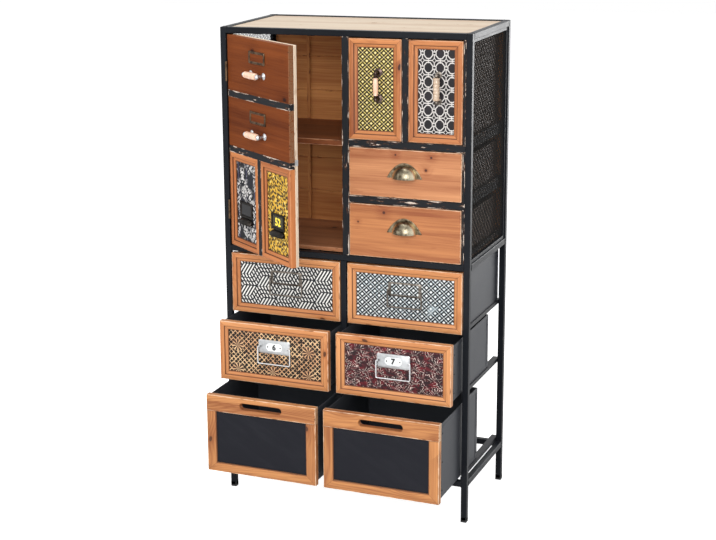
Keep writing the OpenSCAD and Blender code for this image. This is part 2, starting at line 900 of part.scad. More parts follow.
// Hanging bail: a pin in each ear, two legs and the bar that joins them
module bail() {
    leg_x = ear_x + ear_len / 2 + bail_r + fit_gap;
    translate([0, -ear_reach, 0]) {
        for (s = [0, 1]) mirror([s, 0, 0]) {
            translate([leg_x, 0, -bail_len]) cylinder(r = bail_r, h = bail_len);
            for (z = [0, -bail_len]) translate([leg_x, 0, z]) sphere(r = bail_r);
            translate([ear_x - ear_len / 2, 0, 0]) rotate([0, 90, 0])
                cylinder(r = bail_r, h = leg_x - ear_x + ear_len / 2);
        }
        translate([-leg_x, 0, -bail_len]) rotate([0, 90, 0])
            cylinder(r = bail_r, h = 2 * leg_x);
    }
}

// Places a child at the plate's middle, on the panel of a patterned front
module at_plate(x, z, out) {
    lower_drawer(x, z, out)
        translate([lower_w / 2, panel_y, pattern_h / 2 + plate_rise]) children();
}

module mid_left_box() { pattern_box(left_x, mid_z, 0); }
module mid_left_front() { pattern_front(left_x, mid_z, 0); }
module mid_left_plate() { color(brass) at_plate(left_x, mid_z, 0) bail_plate(); }
module mid_left_bail() { color(brass) at_plate(left_x, mid_z, 0) bail(); }
module mid_right_box() { pattern_box(right_x, mid_z, 0); }
module mid_right_front() { pattern_front(right_x, mid_z, 0); }
module mid_right_plate() { color(brass) at_plate(right_x, mid_z, 0) bail_plate(); }
module mid_right_bail() { color(brass) at_plate(right_x, mid_z, 0) bail(); }

module number_left_box() { pattern_box(left_x, number_z, number_out); }
module number_left_front() { pattern_front(left_x, number_z, number_out); }
module number_left_plate() { color(silver) at_plate(left_x, number_z, number_out) bail_plate(); }
module number_left_bail() { color(silver) at_plate(left_x, number_z, number_out) bail(); }
module number_right_box() { pattern_box(right_x, number_z, number_out); }
module number_right_front() { pattern_front(right_x, number_z, number_out); }
module number_right_plate() { color(silver) at_plate(right_x, number_z, number_out) bail_plate(); }
module number_right_bail() { color(silver) at_plate(right_x, number_z, number_out) bail(); }

// Cuts the hand slot through whatever lies behind a bin's upper member
module hand_slot(from_y, to_y) {
    reach = (slot_len - slot_h) / 2;
    translate([lower_w / 2, to_y, bin_h - bin_head / 2]) rotate([90, 0, 0])
        linear_extrude(to_y - from_y)
            union() {
                square([2 * reach, slot_h], center = true);
                for (s = [-1, 1]) translate([s * reach, 0]) circle(d = slot_h);
            }
}

module bin_box(x) {
    color(steel) lower_drawer(x, bin_z, bin_out)
        difference() {
            steel_box(bin_h);
            hand_slot(front_t - lap, front_t + sheet + lap);
        }
}

// Front of a bin: a flat frame with a hand slot, and the chalkboard in its rebate
module bin_front(x) {
    open_w = lower_w - 2 * bin_side;
    open_h = bin_h - bin_head - bin_foot;
    color(light_wood) lower_drawer(x, bin_z, bin_out) {
        difference() {
            cube([lower_w, front_t, bin_h]);
            translate([bin_side, -lap, bin_foot]) cube([open_w, front_t + 2 * lap, open_h]);
            translate([bin_side - rebate, chalk_recess, bin_foot - rebate])
                cube([open_w + 2 * rebate, front_t, open_h + 2 * rebate]);
            hand_slot(-lap, front_t + lap);
        }
        translate([bin_side - rebate + fit_gap, chalk_recess + fit_gap,
                bin_foot - rebate + fit_gap])
            cube([open_w + 2 * rebate - 2 * fit_gap, front_t - chalk_recess - 2 * fit_gap,
                open_h + 2 * rebate - 2 * fit_gap]);
    }
}

module bin_left_box() { bin_box(left_x); }
module bin_left_front() { bin_front(left_x); }
module bin_right_box() { bin_box(right_x); }
module bin_right_front() { bin_front(right_x); }

posts();
foot_caps();
frame_rails();
lower_stiles();
drawer_runners();
top_panel();
support_lugs();
deck_panel();
divider_panel();
drawer_shelves();
face_strips();
back_boards();
cupboard_shelf();
mesh_left();
mesh_right();
hinge_post_leaves();
door_catch();
door_slab();
door_boards();
door_strips();
door_frames();
door_panels();
door_pull_posts();
door_pull_grips();
door_label_holders();
door_card_pulls();
door_hinge_leaves();
door_strike();
tall_left_box();
tall_left_front();
tall_left_pull();
tall_right_box();
tall_right_front();
tall_right_pull();
cup_high_box();
cup_high_front();
cup_high_pull();
cup_low_box();
cup_low_front();
cup_low_pull();
mid_left_box();
mid_left_front();
mid_left_plate();
mid_left_bail();
mid_right_box();
mid_right_front();
mid_right_plate();
mid_right_bail();
number_left_box();
number_left_front();
number_left_plate();
number_left_bail();
number_right_box();
number_right_front();
number_right_plate();
number_right_bail();
bin_left_box();
bin_left_front();
bin_right_box();
bin_right_front();
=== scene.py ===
"""Dresses the apothecary chest: its steel frame, its door, its drawers and its bins.

Lengths are in metres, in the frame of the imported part. Every shape is worked out as
whole numpy arrays, and every finish is a small graph of shader nodes that reads how
far a point lies along, across and inside its own board, bar or plate.
"""

import json
import logging
import math
from dataclasses import dataclass, replace
from enum import Enum, member

import bmesh
import bpy
import numpy as np
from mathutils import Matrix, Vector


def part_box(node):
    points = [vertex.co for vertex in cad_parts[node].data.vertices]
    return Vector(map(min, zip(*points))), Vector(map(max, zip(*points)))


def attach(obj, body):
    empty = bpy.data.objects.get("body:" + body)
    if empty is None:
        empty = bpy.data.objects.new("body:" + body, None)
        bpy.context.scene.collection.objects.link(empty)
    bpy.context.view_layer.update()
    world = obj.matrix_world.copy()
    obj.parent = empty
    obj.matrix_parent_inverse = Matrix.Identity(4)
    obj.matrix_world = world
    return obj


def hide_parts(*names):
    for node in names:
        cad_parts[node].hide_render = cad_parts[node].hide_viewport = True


LOG = logging.getLogger("chest")
Array = np.ndarray
Triple = tuple[float, float, float]
Colour = Triple
Point = Array | Triple
Box = tuple[Array, Array]
Socket = bpy.types.NodeSocket
Material = bpy.types.Material
Term = "Field | float"
Masks = tuple["Field", "Field"]
MM = 0.001
STILL = np.eye(4)


# Fields and graphs: how a finish is written


class Field:
    """A number that varies over a surface; arithmetic on it adds Math nodes."""

    def __init__(self, graph: "Graph", socket: Socket) -> None:
        """Keeps the graph and the socket that carries the number."""
        self.graph, self.socket = graph, socket

    def math(self, operation: str, *terms: Term) -> "Field":
        """Joins this field and other terms, fields or numbers, in one Math node."""
        feeds = dict(enumerate((self, *terms)))
        return Field(self.graph, self.graph.wired("ShaderNodeMath", feeds, operation=operation))

    def __add__(self, other: Term) -> "Field":
        """Sum."""
        return self.math("ADD", other)

    __radd__ = __add__

    def __sub__(self, other: Term) -> "Field":
        """Difference."""
        return self.math("SUBTRACT", other)

    def __rsub__(self, other: float) -> "Field":
        """A plain number less this field."""
        return self.math("MULTIPLY_ADD", -1.0, other)

    def __mul__(self, other: Term) -> "Field":
        """Product."""
        return self.math("MULTIPLY", other)

    __rmul__ = __mul__

    def __abs__(self) -> "Field":
        """Absolute value."""
        return self.math("ABSOLUTE")

    def least(self, other: Term) -> "Field":
        """The smaller of two."""
        return self.math("MINIMUM", other)

    def most(self, other: Term) -> "Field":
        """The larger of two."""
        return self.math("MAXIMUM", other)

    def cell(self) -> "Field":
        """Place inside its unit cell, from -0.5 to 0.5."""
        return self.math("FRACT") - 0.5

    def wave(self) -> "Field":
        """Sine of this field, from 0 to 1."""
        return self.math("SINE").math("MULTIPLY_ADD", 0.5, 0.5)

    def power(self, exponent: float) -> "Field":
        """This field to a power."""
        return self.math("POWER", exponent)

    def step(self, low: float, high: float) -> "Field":
        """Smooth step, 0 at the low value and 1 at the high one, which may lie under it."""
        feeds = {"Value": self, "From Min": low, "From Max": high}
        return Field(self.graph, self.graph.wired("ShaderNodeMapRange", feeds, "Result",
                                                  interpolation_type="SMOOTHSTEP"))


class Graph:
    """The nodes of one material."""

    def __init__(self, name: str) -> None:
        """Starts an empty material.

        Args:
            name: of the material.
        """
        self.material = bpy.data.materials.new(name)
        self.material.use_nodes = True
        self.tree = self.material.node_tree
        self.tree.nodes.clear()
        self.output = self.node("ShaderNodeOutputMaterial")
        self.bsdf = self.node("ShaderNodeBsdfPrincipled")
        self.tree.links.new(self.bsdf.outputs[0], self.output.inputs[0])

    def node(self, kind: str, **settings: object) -> bpy.types.Node:
        """Adds a node and sets its options."""
        node = self.tree.nodes.new(kind)
        for key, value in settings.items():
            setattr(node, key, value)
        return node

    def feed(self, socket: Socket, value: object) -> None:
        """Links a field or socket to an input, or sets a constant on it.

        Args:
            socket: the input.
            value: a field, an output socket, a number or a colour.
        """
        if isinstance(value, Field):
            value = value.socket
        if isinstance(value, Socket):
            self.tree.links.new(value, socket)
        elif isinstance(value, tuple):
            socket.default_value = (*value, 1.0)[:len(socket.default_value)]
        else:
            socket.default_value = value

    def wired(self, kind: str, feeds: dict[str | int, object], output: str | int = 0,
              **settings: object) -> Socket:
        """Adds a node and feeds its inputs.

        Args:
            kind: the node's type.
            feeds: what each input is fed with.
            output: the output that is wanted.
            settings: the node's options.

        Returns:
            The output.
        """
        node = self.node(kind, **settings)
        for name, value in feeds.items():
            self.feed(node.inputs[name], value)
        return node.outputs[output]

    def read(self, name: str, channel: str = "Vector") -> Socket:
        """Output of an Attribute node."""
        return self.node("ShaderNodeAttribute", attribute_name=name).outputs[channel]

    def place(self) -> Socket:
        """Object coordinates."""
        return self.node("ShaderNodeTexCoord").outputs["Object"]

    def split(self, vector: Socket) -> list[Field]:
        """The three fields of a vector."""
        node = self.node("ShaderNodeSeparateXYZ")
        self.feed(node.inputs[0], vector)
        return [Field(self, node.outputs[i]) for i in range(3)]

    def join(self, x: Term, y: Term, z: Term = 0.0) -> Socket:
        """The vector of three fields."""
        return self.wired("ShaderNodeCombineXYZ", {0: x, 1: y, 2: z})

    def grain(self) -> Socket:
        """Place inside the board, moved by the board's own seed so that no two match."""
        seed = Field(self, self.read("seed", "Fac"))
        away = self.join(seed * 7.31, seed * 3.17, seed * 5.71)
        return self.wired("ShaderNodeVectorMath", {0: self.read("local"), 1: away}, operation="ADD")

    def gaps(self) -> list[Field]:
        """Distances in metres to the three pairs of faces of the point's own board."""
        out = self.wired("ShaderNodeVectorMath", {0: self.read("local")}, operation="ABSOLUTE")
        feeds = {0: self.read("half"), 1: out}
        return self.split(self.wired("ShaderNodeVectorMath", feeds, operation="SUBTRACT"))

    def edge(self, framed: bool = False) -> Field:
        """Distance in metres to the nearest edge of the board's face.

        On a block, the least of a point's three distances is 0 and the middle one is
        the distance to the edge. A frame's member is cut at a slant, so there only its
        width and its depth count.

        Args:
            framed: True for the members of a mitred frame.

        Returns:
            The distance.
        """
        a, b, c = self.gaps()
        if framed:
            return b.most(c)
        return a.least(b).most(a.most(b).least(c))

    def stretched(self, vector: Socket, scale: Triple | float) -> Socket:
        """A vector scaled by a Mapping node, along each axis or evenly."""
        scale = scale if isinstance(scale, tuple) else (scale,) * 3
        return self.wired("ShaderNodeMapping", {"Vector": vector, "Scale": scale})

    def noise(self, vector: Socket, scale: Triple | float, detail: float = 2.0,
              rough: float = 0.5) -> Field:
        """Cloudy noise.

        Args:
            vector: where it is read.
            scale: features per metre, along each axis or along all.
            detail: octaves.
            rough: weight of each finer octave.

        Returns:
            The noise, about 0.5 on average.
        """
        feeds = {"Vector": self.stretched(vector, scale), "Scale": 1.0, "Detail": detail,
                 "Roughness": rough}
        return Field(self, self.wired("ShaderNodeTexNoise", feeds))

    def cells(self, vector: Socket, scale: Triple | float,
              flat: bool = False) -> tuple[Field, Field]:
        """Scattered points.

        Args:
            vector: where they are read.
            scale: points per metre, along each axis or along all.
            flat: True to scatter them over the first two axes only.

        Returns:
            The distance to the nearest point, and a chance from 0 to 1 of its own.
        """
        node = self.node("ShaderNodeTexVoronoi", voronoi_dimensions="2D" if flat else "3D")
        self.feed(node.inputs["Vector"], self.stretched(vector, scale))
        node.inputs["Scale"].default_value = 1.0
        return Field(self, node.outputs["Distance"]), self.split(node.outputs["Color"])[0]

    def mix(self, share: Term, first: object, second: object) -> Socket:
        """Blend of two colours, the first where share is 0, the second where it is 1."""
        feeds = {0: share, 6: first, 7: second}
        return self.wired("ShaderNodeMix", feeds, 2, data_type="RGBA", blend_type="MIX")

    def ramp(self, share: Field, *stops: tuple[float, Colour]) -> Socket:
        """Colour ramp.

        Args:
            share: where it is read, from 0 to 1.
            stops: positions and their colours.

        Returns:
            The colour.
        """
        node = self.node("ShaderNodeValToRGB")
        while len(node.color_ramp.elements) < len(stops):
            node.color_ramp.elements.new(0.5)
        for element, (position, colour) in zip(node.color_ramp.elements, stops):
            element.position, element.color = position, (*colour, 1.0)
        self.feed(node.inputs[0], share)
        return node.outputs[0]

    def finish(self, colour: object, rough: Term, height: Field | None = None,
               depth: float = 0.2 * MM, **fixed: float) -> Material:
        """Joins colour, roughness and relief to the shader.

        Args:
            colour: base colour.
            rough: roughness.
            height: relief, 0 to 1, or none.
            depth: height of the relief in metres.
            fixed: constants for the shader's own sockets, with _ for a space.

        Returns:
            The finished material.
        """
        self.feed(self.bsdf.inputs["Base Color"], colour)
        self.feed(self.bsdf.inputs["Roughness"], rough)
        for key, value in fixed.items():
            self.bsdf.inputs[key.replace("_", " ")].default_value = value
        if height is not None:
            bump = self.wired("ShaderNodeBump", {"Distance": depth, "Height": height})
            self.feed(self.bsdf.inputs["Normal"], bump)
        return self.material


# Finishes


class Finish:
    """A finish that makes its material once and hands it out again after that."""

    made: dict[str, Material] = {}
    name: str

    def dress(self, graph: Graph) -> Material:
        """Builds the material in a graph."""
        raise NotImplementedError

    def material(self) -> Material:
        """The finish's material."""
        if self.name not in Finish.made:
            Finish.made[self.name] = self.dress(Graph(self.name))
        return Finish.made[self.name]


@dataclass(frozen=True)
class Wood(Finish):
    """Sawn softwood: streaks and growth lines along the board, knots, rubbed edges.

    The colours are those of the pale wood, of its dark streaks, of a knot's heart, of
    the arrises that are rubbed bare and of the end grain. Shade lines are painted shade:
    dark lines along a frame's member, at its moulding's step and by its panel, each at a
    share of half its width from the middle. Spots are knots at known places: along and
    across the board from its middle, and the heart's radius.
    """

    name: str
    light: Colour
    dark: Colour
    knot: Colour
    edge: Colour
    end: Colour
    line_gap: float = 8 * MM
    figure: float = 0.3
    knots: float = 0.25
    wear: float = 0.75
    contrast: float = 1.0
    rough: float = 0.5
    gloss: float = 0.3
    smudge: float = 0.35
    # painted shade: dark lines at these shares of a member's half width from its middle
    shade_lines: tuple[float, ...] = ()
    framed: bool = False
    spots: tuple[Triple, ...] = ()

    heart = 0.065

    def dress(self, graph: Graph) -> Material:
        """Four stretched noises make the streaks.

        Growth lines are the sine of the place across the board, bent by a slow noise
        and round the knots, and they come and go along the board.

        Args:
            graph: the material's graph.

        Returns:
            The material.
        """
        place = graph.grain()
        _, across, deep = graph.split(place)
        broad = graph.noise(place, (1.3, 26.0, 26.0)) - 0.5
        streak = graph.noise(place, (2.6, 95.0, 95.0), 3.0, 0.6) - 0.5
        fibre = graph.noise(place, (11.0, 520.0, 520.0))
        vein = graph.noise(place, (1.7, 34.0, 34.0), 3.0, 0.6).step(0.6, 0.78)
        near, aside = self.knotted(graph, place)
        swirl = near.step(0.45, 0.0)
        wander = graph.noise(place, (1.8, 9.0, 9.0))
        bent = across + deep * 0.7 + wander * 0.13 + swirl * 0.014
        lines = (bent * (2 * math.pi / self.line_gap)).wave().power(2.5)
        shown = graph.noise(place, (1.1, 7.0, 7.0), 1.0).step(0.36, 0.62)
        tone = broad * 1.6 + streak * 1.2 + (fibre - 0.5) * 0.5 + lines * shown * self.figure
        tone = (tone + swirl * 0.3 + vein * 0.45) * self.contrast + 0.36
        middle = tuple((a + b) / 2 for a, b in zip(self.light, self.dark))
        colour = graph.ramp(tone, (0.05, self.light), (0.5, middle), (0.95, self.dark))
        halo = near.step(2 * self.heart, 0.8 * self.heart)
        colour = graph.mix(halo * 0.7, colour, self.dark)
        colour = graph.mix(near.step(self.heart, 0.6 * self.heart), colour, self.knot)
        smudge = graph.noise(place, (9.0, 30.0, 30.0), 3.0, 0.6).step(0.6, 0.74)
        colour = graph.mix(smudge * self.smudge, colour, self.dark)
        colour = self.rubbed(graph, place, aside, self.marks(graph, colour))
        rough = fibre * 0.2 + (self.rough - 0.1)
        relief = fibre * 0.5 + lines * shown * 0.3 + streak * 0.5 - halo * 0.3
        return graph.finish(colour, rough, relief, 0.25 * MM, Specular_IOR_Level=self.gloss)

    def knotted(self, graph: Graph, place: Socket) -> tuple[Field, Field]:
        """How near the closest knot is, of the scattered ones and those at known places.

        Args:
            graph: the graph.
            place: where the scattered ones are read.

        Returns:
            The distance, scaled so that each knot's heart ends at the same value, and
            the place across the board.
        """
        near, chance = graph.cells(place, (7.0, 12.0, 1.0), True)
        near = near + chance.step(1.01 - self.knots, 1.0 - self.knots) * 9.0
        x, y, _ = graph.split(graph.read("local"))
        for along, aside, radius in self.spots:
            dx, dy = x - along, y - aside
            near = near.least((dx * dx + dy * dy).math("SQRT") * (self.heart / radius))
        return near, y

    def rubbed(self, graph: Graph, place: Socket, aside: Field,
               colour: object) -> Socket:
        """Adds dark chips near the edges, and arrises that are rubbed bare in places.

        Args:
            graph: the graph.
            place: where the noise is read.
            aside: place across the board; a frame is rubbed on its outer side only.
            colour: colour so far.

        Returns:
            The colour with the wear.
        """
        edge = graph.edge(self.framed)
        ragged = graph.noise(place, (45.0, 200.0, 200.0), 3.0, 0.6)
        chips = edge.step(5.0 * MM, 0.5 * MM) * ragged.step(0.58, 0.66)
        colour = graph.mix(chips * 0.8, colour, self.knot)
        worn = (edge + (ragged - 0.5) * 5.0 * MM).step(1.9 * MM, 0.3 * MM)
        if self.framed:
            worn = worn * aside.step(4.0 * MM, -2.0 * MM)
        return graph.mix(worn * self.wear, colour, self.edge)

    def marks(self, graph: Graph, colour: object) -> object:
        """Adds end grain, or a frame's mitre joints and its lines of painted shade.

        Args:
            graph: the graph.
            colour: colour of the face.

        Returns:
            The colour with the marks.
        """
        end = graph.gaps()[0]
        if not self.framed:
            speck = graph.noise(graph.grain(), 300.0, 3.0)
            return graph.mix(end.step(0.5 * MM, 0.1 * MM) * speck.step(0.3, 0.5), colour, self.end)
        colour = graph.mix(end.step(0.8 * MM, 0.2 * MM) * 0.6, colour, self.knot)
        wide = graph.split(graph.read("local"))[1].math("DIVIDE", graph.split(graph.read("half"))[1])
        # painted shade at the moulding's step and along the panel's edge
        for share in self.shade_lines:
            colour = graph.mix(abs(wide - share).step(0.12, 0.04) * 0.85, colour, self.knot)
        return colour


@dataclass(frozen=True)
class PaintedWood(Finish):
    """Paint on wood, worn through in flecks, most of them along the edges."""

    name: str
    paint: Colour
    under: Colour
    fleck: Colour
    wear: float = 0.5

    def dress(self, graph: Graph) -> Material:
        """Wear is a noise stretched along the board, raised near its edges.

        Args:
            graph: the material's graph.

        Returns:
            The material.
        """
        place = graph.grain()
        coarse = graph.noise(place, (26.0, 130.0, 130.0), 4.0, 0.65)
        patch = graph.noise(place, (7.0, 9.0, 9.0))
        rim = graph.edge().step(3.0 * MM, 0.0)
        worn = coarse + rim * 0.14 + patch * 0.22
        gone = worn.step(0.84 - 0.18 * self.wear, 0.88 - 0.18 * self.wear)
        bare = worn.step(0.90 - 0.18 * self.wear, 0.94 - 0.18 * self.wear)
        brush = graph.noise(place, (12.0, 500.0, 500.0))
        dull = graph.mix(brush * 0.35, self.paint, tuple(2.2 * c for c in self.paint))
        colour = graph.mix(gone, dull, self.under)
        colour = graph.mix(bare, colour, self.fleck)
        return graph.finish(colour, gone * 0.25 + 0.5, brush * 0.5 - gone * 0.8, 0.2 * MM,
                            Specular_IOR_Level=0.13)


@dataclass(frozen=True)
class Paint(Finish):
    """Satin paint or powder on steel, faintly pebbled, with chips on its edges."""

    name: str
    paint: Colour
    chip: Colour
    on_cad: bool = False
    rough: float = 0.42
    chips: float = 0.5
    gloss: float = 0.25

    def dress(self, graph: Graph) -> Material:
        """Pebbling is fine noise; chips are noise near an edge.

        Args:
            graph: the material's graph.

        Returns:
            The material.
        """
        place = graph.place() if self.on_cad else graph.grain()
        pebble = graph.noise(place, 900.0)
        cloud = graph.noise(place, 9.0, 3.0)
        colour = graph.mix(cloud, tuple(0.72 * c for c in self.paint),
                           tuple(1.35 * c for c in self.paint))
        if not self.on_cad:
            speck = graph.noise(place, (70.0, 150.0, 150.0), 3.0, 0.65)
            chip = graph.edge().step(1.3 * MM, 0.2 * MM) * speck.step(0.64, 0.7) * self.chips
            colour = graph.mix(chip, colour, self.chip)
        return graph.finish(colour, cloud * 0.2 + (self.rough - 0.08), pebble, 0.05 * MM,
                            Specular_IOR_Level=self.gloss)


@dataclass(frozen=True)
class Metal(Finish):
    """Cast or drawn metal with a darker patina in clouds."""

    name: str
    bright: Colour
    patina: Colour
    rough: float = 0.35
    cover: float = 0.5
    # share of painted shade towards the ends along X
    ends: float = 0.0

    def dress(self, graph: Graph) -> Material:
        """The patina is a cloud; towards each form's ends along X the colour darkens as painted shade.

        Args:
            graph: the material's graph.

        Returns:
            The material.
        """
        place = graph.place()
        cloud = graph.noise(place, 90.0, 3.0, 0.55)
        fine = graph.noise(place, (900.0, 900.0, 2400.0))
        cover = cloud.step(0.72, 0.3) * self.cover
        # painted shade: the colour darkens to the patina's towards the form's ends along X
        if self.ends:
            out = abs(graph.split(graph.read("local"))[0].math(
                "DIVIDE", graph.split(graph.read("half"))[0]))
            cover = cover.most(out.step(0.25, 1.0) * self.ends)
        colour = graph.mix(cover, self.patina, self.bright)
        rough = cloud * 0.25 + fine * 0.1 + (self.rough - 0.17)
        return graph.finish(colour, rough, fine * 0.4 + cloud * 0.6, 0.08 * MM,
                            Metallic=1.0)


@dataclass(frozen=True)
class Glaze(Finish):
    """Glazed ware: a mottled body colour under a clear glossy coat."""

    name: str
    body: Colour
    mottle: Colour

    def dress(self, graph: Graph) -> Material:
        """Mottling is a soft cloud with a few darker specks.

        Args:
            graph: the material's graph.

        Returns:
            The material.
        """
        place = graph.place()
        cloud = graph.noise(place, 90.0, 3.0)
        near, chance = graph.cells(place, 260.0)
        speck = near.step(0.16, 0.05) * chance.step(0.72, 0.75) * 0.5
        colour = graph.mix(cloud.step(0.35, 0.7) * 0.6, self.body, self.mottle)
        colour = graph.mix(speck, colour, tuple(0.4 * c for c in self.mottle))
        return graph.finish(colour, cloud * 0.1 + 0.22, cloud, 0.1 * MM, Coat_Weight=0.9,
                            Coat_Roughness=0.08)


@dataclass(frozen=True)
class Plastic(Finish):
    """Moulded plastic with a fine spark texture."""

    name: str
    colour: Colour

    def dress(self, graph: Graph) -> Material:
        """The texture is fine noise.

        Args:
            graph: the material's graph.

        Returns:
            The material.
        """
        place = graph.place()
        fine = graph.noise(place, 1500.0)
        cloud = graph.noise(place, 40.0)
        colour = graph.mix(cloud, self.colour, tuple(1.8 * c for c in self.colour))
        return graph.finish(colour, fine * 0.2 + 0.5, fine, 0.06 * MM)


@dataclass(frozen=True)
class Chalkboard(Finish):
    """Charcoal board paint with the haze of wiped chalk."""

    name: str
    board: Colour
    chalk: Colour

    def dress(self, graph: Graph) -> Material:
        """Haze is a slanted, stretched cloud; the tooth is fine noise.

        Args:
            graph: the material's graph.

        Returns:
            The material.
        """
        place = graph.grain()
        slant = {"Vector": place, "Rotation": (0.0, 0.0, 0.5)}
        smear = graph.noise(graph.wired("ShaderNodeMapping", slant), (9.0, 60.0, 9.0), 4.0, 0.6)
        cloud = graph.noise(place, (8.0, 11.0, 8.0), 3.0)
        tooth = graph.noise(place, 1400.0)
        haze = (smear * 0.6 + cloud * 0.6 + tooth * 0.15).step(0.6, 1.05) * 0.03
        colour = graph.mix(haze, self.board, self.chalk)
        return graph.finish(colour, 0.68, tooth, 0.06 * MM, Specular_IOR_Level=0.12)


# Motifs: each draws its masks of ink and accent, from 0 to 1, at a place in repeats


def trellis(graph: Graph, x: Field, y: Field) -> Masks:
    """Pairs of lines where x+y or x-y is near a half, lozenges between the pairs.

    The lines fade in patches, and a pale thread runs inside each pair.

    Args:
        graph, x, y: the graph, and the place in repeats.

    Returns:
        The masks of ink and accent.
    """
    u, v = abs((x + y).cell()), abs((x - y).cell())
    fade = graph.noise(graph.join(x, y), (0.4, 0.4, 1.0), 3.0).step(0.62, 0.72) * 0.5
    lines = abs(u - 0.2).least(abs(v - 0.2)).step(0.145, 0.08) * (1.0 - fade)
    near = u.least(v)
    return lines, (near.step(0.32, 0.38) * 0.85).most(near.step(0.06, 0.02) * 0.5)


def octagons(graph: Graph, x: Field, y: Field) -> Masks:
    """Octagon rings in cells, linked to each other, and a lozenge at each corner.

    One link runs up and down, two run side by side across, and straight lines along
    the cells' borders join the links to the lozenges.

    Args:
        graph, x, y: the graph, and the place in repeats.

    Returns:
        The masks of ink and accent.
    """
    cx, cy = abs(x.cell()), abs(y.cell())
    reach = cx.most(cy).most((cx + cy) * 0.72)
    ring = abs(reach - 0.36).step(0.05, 0.024)
    outside = reach.step(0.36, 0.38)
    across = abs(cy - 0.1).step(0.045, 0.025) * cx.step(0.4, 0.42)
    upward = cx.step(0.045, 0.025)
    sides = cx.step(0.455, 0.475) * cy.step(0.12, 0.14)
    tops = cy.step(0.455, 0.475)
    corner = 1.0 - cx - cy
    lozenge = abs(corner - 0.17).step(0.045, 0.02)
    links = across.most(upward).most(sides).most(tops) * outside * corner.step(0.12, 0.15)
    return ring.most(links).most(lozenge), ring * 0.0


def blocks(graph: Graph, x: Field, y: Field) -> Masks:
    """Hexagons of three rhombi: one holds long bars, the others short dashes.

    Two interleaved grids give the nearest hexagon's middle, with a rhombus's side
    as the unit. The signs of y and of x plus or minus 0.577 y tell the rhombus,
    and those numbers count its bars.

    Args:
        graph, x, y: the graph, and the place in repeats.

    Returns:
        The masks of ink and accent.
    """
    tall = math.sqrt(3.0)
    ax, ay = x.cell() * 3.0, y.cell() * tall
    bx, by = (x + 0.5).cell() * 3.0, (y + 0.5).cell() * tall
    pick = (bx * bx + by * by - ax * ax - ay * ay).step(-0.001, 0.001)
    px = ax * pick + bx * (1.0 - pick)
    py = ay * pick + by * (1.0 - pick)
    rise, fall = px + py * 0.577, px - py * 0.577
    high = py.step(-0.004, 0.004)
    first = (1.0 - high) * fall.step(-0.004, 0.004)
    second = high * rise.step(-0.004, 0.004)
    third = 1.0 - first - second

    def lines(along: Field, count: float, width: float) -> Field:
        """Dark lines, one at each whole number of the count."""
        return abs((along * count + 0.5).cell()).step(width + 0.05, width - 0.05)

    bars = lines(fall, 4.0, 0.28).most(abs(py).step(0.08, 0.04))
    dashes = lines(rise, 4.0, 0.28).most(lines(py * 1.155, 3.0, 0.16))
    small = lines(rise, 4.0, 0.28).most(lines(fall, 3.0, 0.16))
    return first * bars + second * dashes + third * small, bars * 0.0


def sprigs(graph: Graph, x: Field, y: Field) -> Masks:
    """Dark dashes at scattered points, with pale dots between them.

    Args:
        graph, x, y: the graph, and the place in repeats.

    Returns:
        The masks of ink and accent.
    """
    near, chance = graph.cells(graph.join(x + y, x - y), (1.3, 0.75, 1.0), True)
    pale, lot = graph.cells(graph.join(x, y), (0.7, 0.8, 1.0), True)
    dash = near.step(0.5, 0.38) * chance.step(0.1, 0.14)
    return dash, pale.step(0.3, 0.2) * lot.step(0.5, 0.55) * (1.0 - dash)


def flowers(graph: Graph, x: Field, y: Field) -> Masks:
    """Slanted strokes that lean outwards on each side of a stem, dark in patches.

    Args:
        graph, x, y: the graph, and the place in repeats.

    Returns:
        The masks of ink and accent.
    """
    side = x.cell().step(-0.01, 0.01) * 2.0 - 1.0
    lean = graph.join(x * side + y, x * side - y)
    near, chance = graph.cells(lean, (2.8, 6.0, 1.0), True)
    patch = graph.noise(graph.join(x, y), (1.1, 0.8, 1.0)).step(0.4, 0.54)
    strokes = near.step(0.47, 0.34) * chance.step(0.12, 0.16) * patch
    return strokes, abs(x.cell()).step(0.03, 0.01) * (1.0 - patch)


def rosettes(graph: Graph, x: Field, y: Field) -> Masks:
    """A lattice of dark lozenges, with a rosette of petals in each cell's middle.

    Args:
        graph, x, y: the graph, and the place in repeats.

    Returns:
        The masks of ink and accent.
    """
    u, v = abs((x * 8.0 + y * 5.0).cell()), abs((x * 8.0 - y * 5.0).cell())
    size = graph.noise(graph.join(x, y), (9.0, 7.0, 1.0), 3.0) * 0.6 + 0.11
    lozenge = (u.most(v) - size).step(0.03, -0.04)
    cx, cy = x.cell(), y.cell() * 0.65
    far = (cx * cx + cy * cy).math("SQRT") + size * 0.1
    turn = cy.math("ARCTAN2", cx)
    inside = far.step(0.22, 0.18)
    petals = (turn * 9.0).wave().step(0.2, 0.45)
    return lozenge * (1.0 - inside), inside * petals


def ferns(graph: Graph, x: Field, y: Field) -> Masks:
    """Fine strokes that fan out in staggered rows, missing in some patches.

    Args:
        graph, x, y: the graph, and the place in repeats.

    Returns:
        The masks of ink and accent.
    """
    row = (y * 2.0).math("FLOOR")
    cx = (x + row * 0.5).cell()
    cy = (y * 2.0).math("FRACT") * 0.5
    far = (cx * cx + cy * cy).math("SQRT")
    turn = cy.math("ARCTAN2", cx)
    loose = graph.noise(graph.join(x, y), (5.0, 5.0, 1.0))
    rays = (turn * 15.0 + far * 14.0 + loose * 12.0).wave().step(0.74, 0.92)
    rings = abs((far * 5.0 + loose * 2.0).cell()).step(0.16, 0.06)
    patch = graph.noise(graph.join(x, y), (1.6, 1.6, 1.0)).step(0.4, 0.55)
    dark = graph.noise(graph.join(x, y), (2.3, 4.6, 1.0), 3.0, 0.6).step(0.44, 0.54)
    rays = rays * far.step(0.1, 0.16) * (1.0 - rings) * patch
    return rays, dark * (1.0 - rays) * 0.85


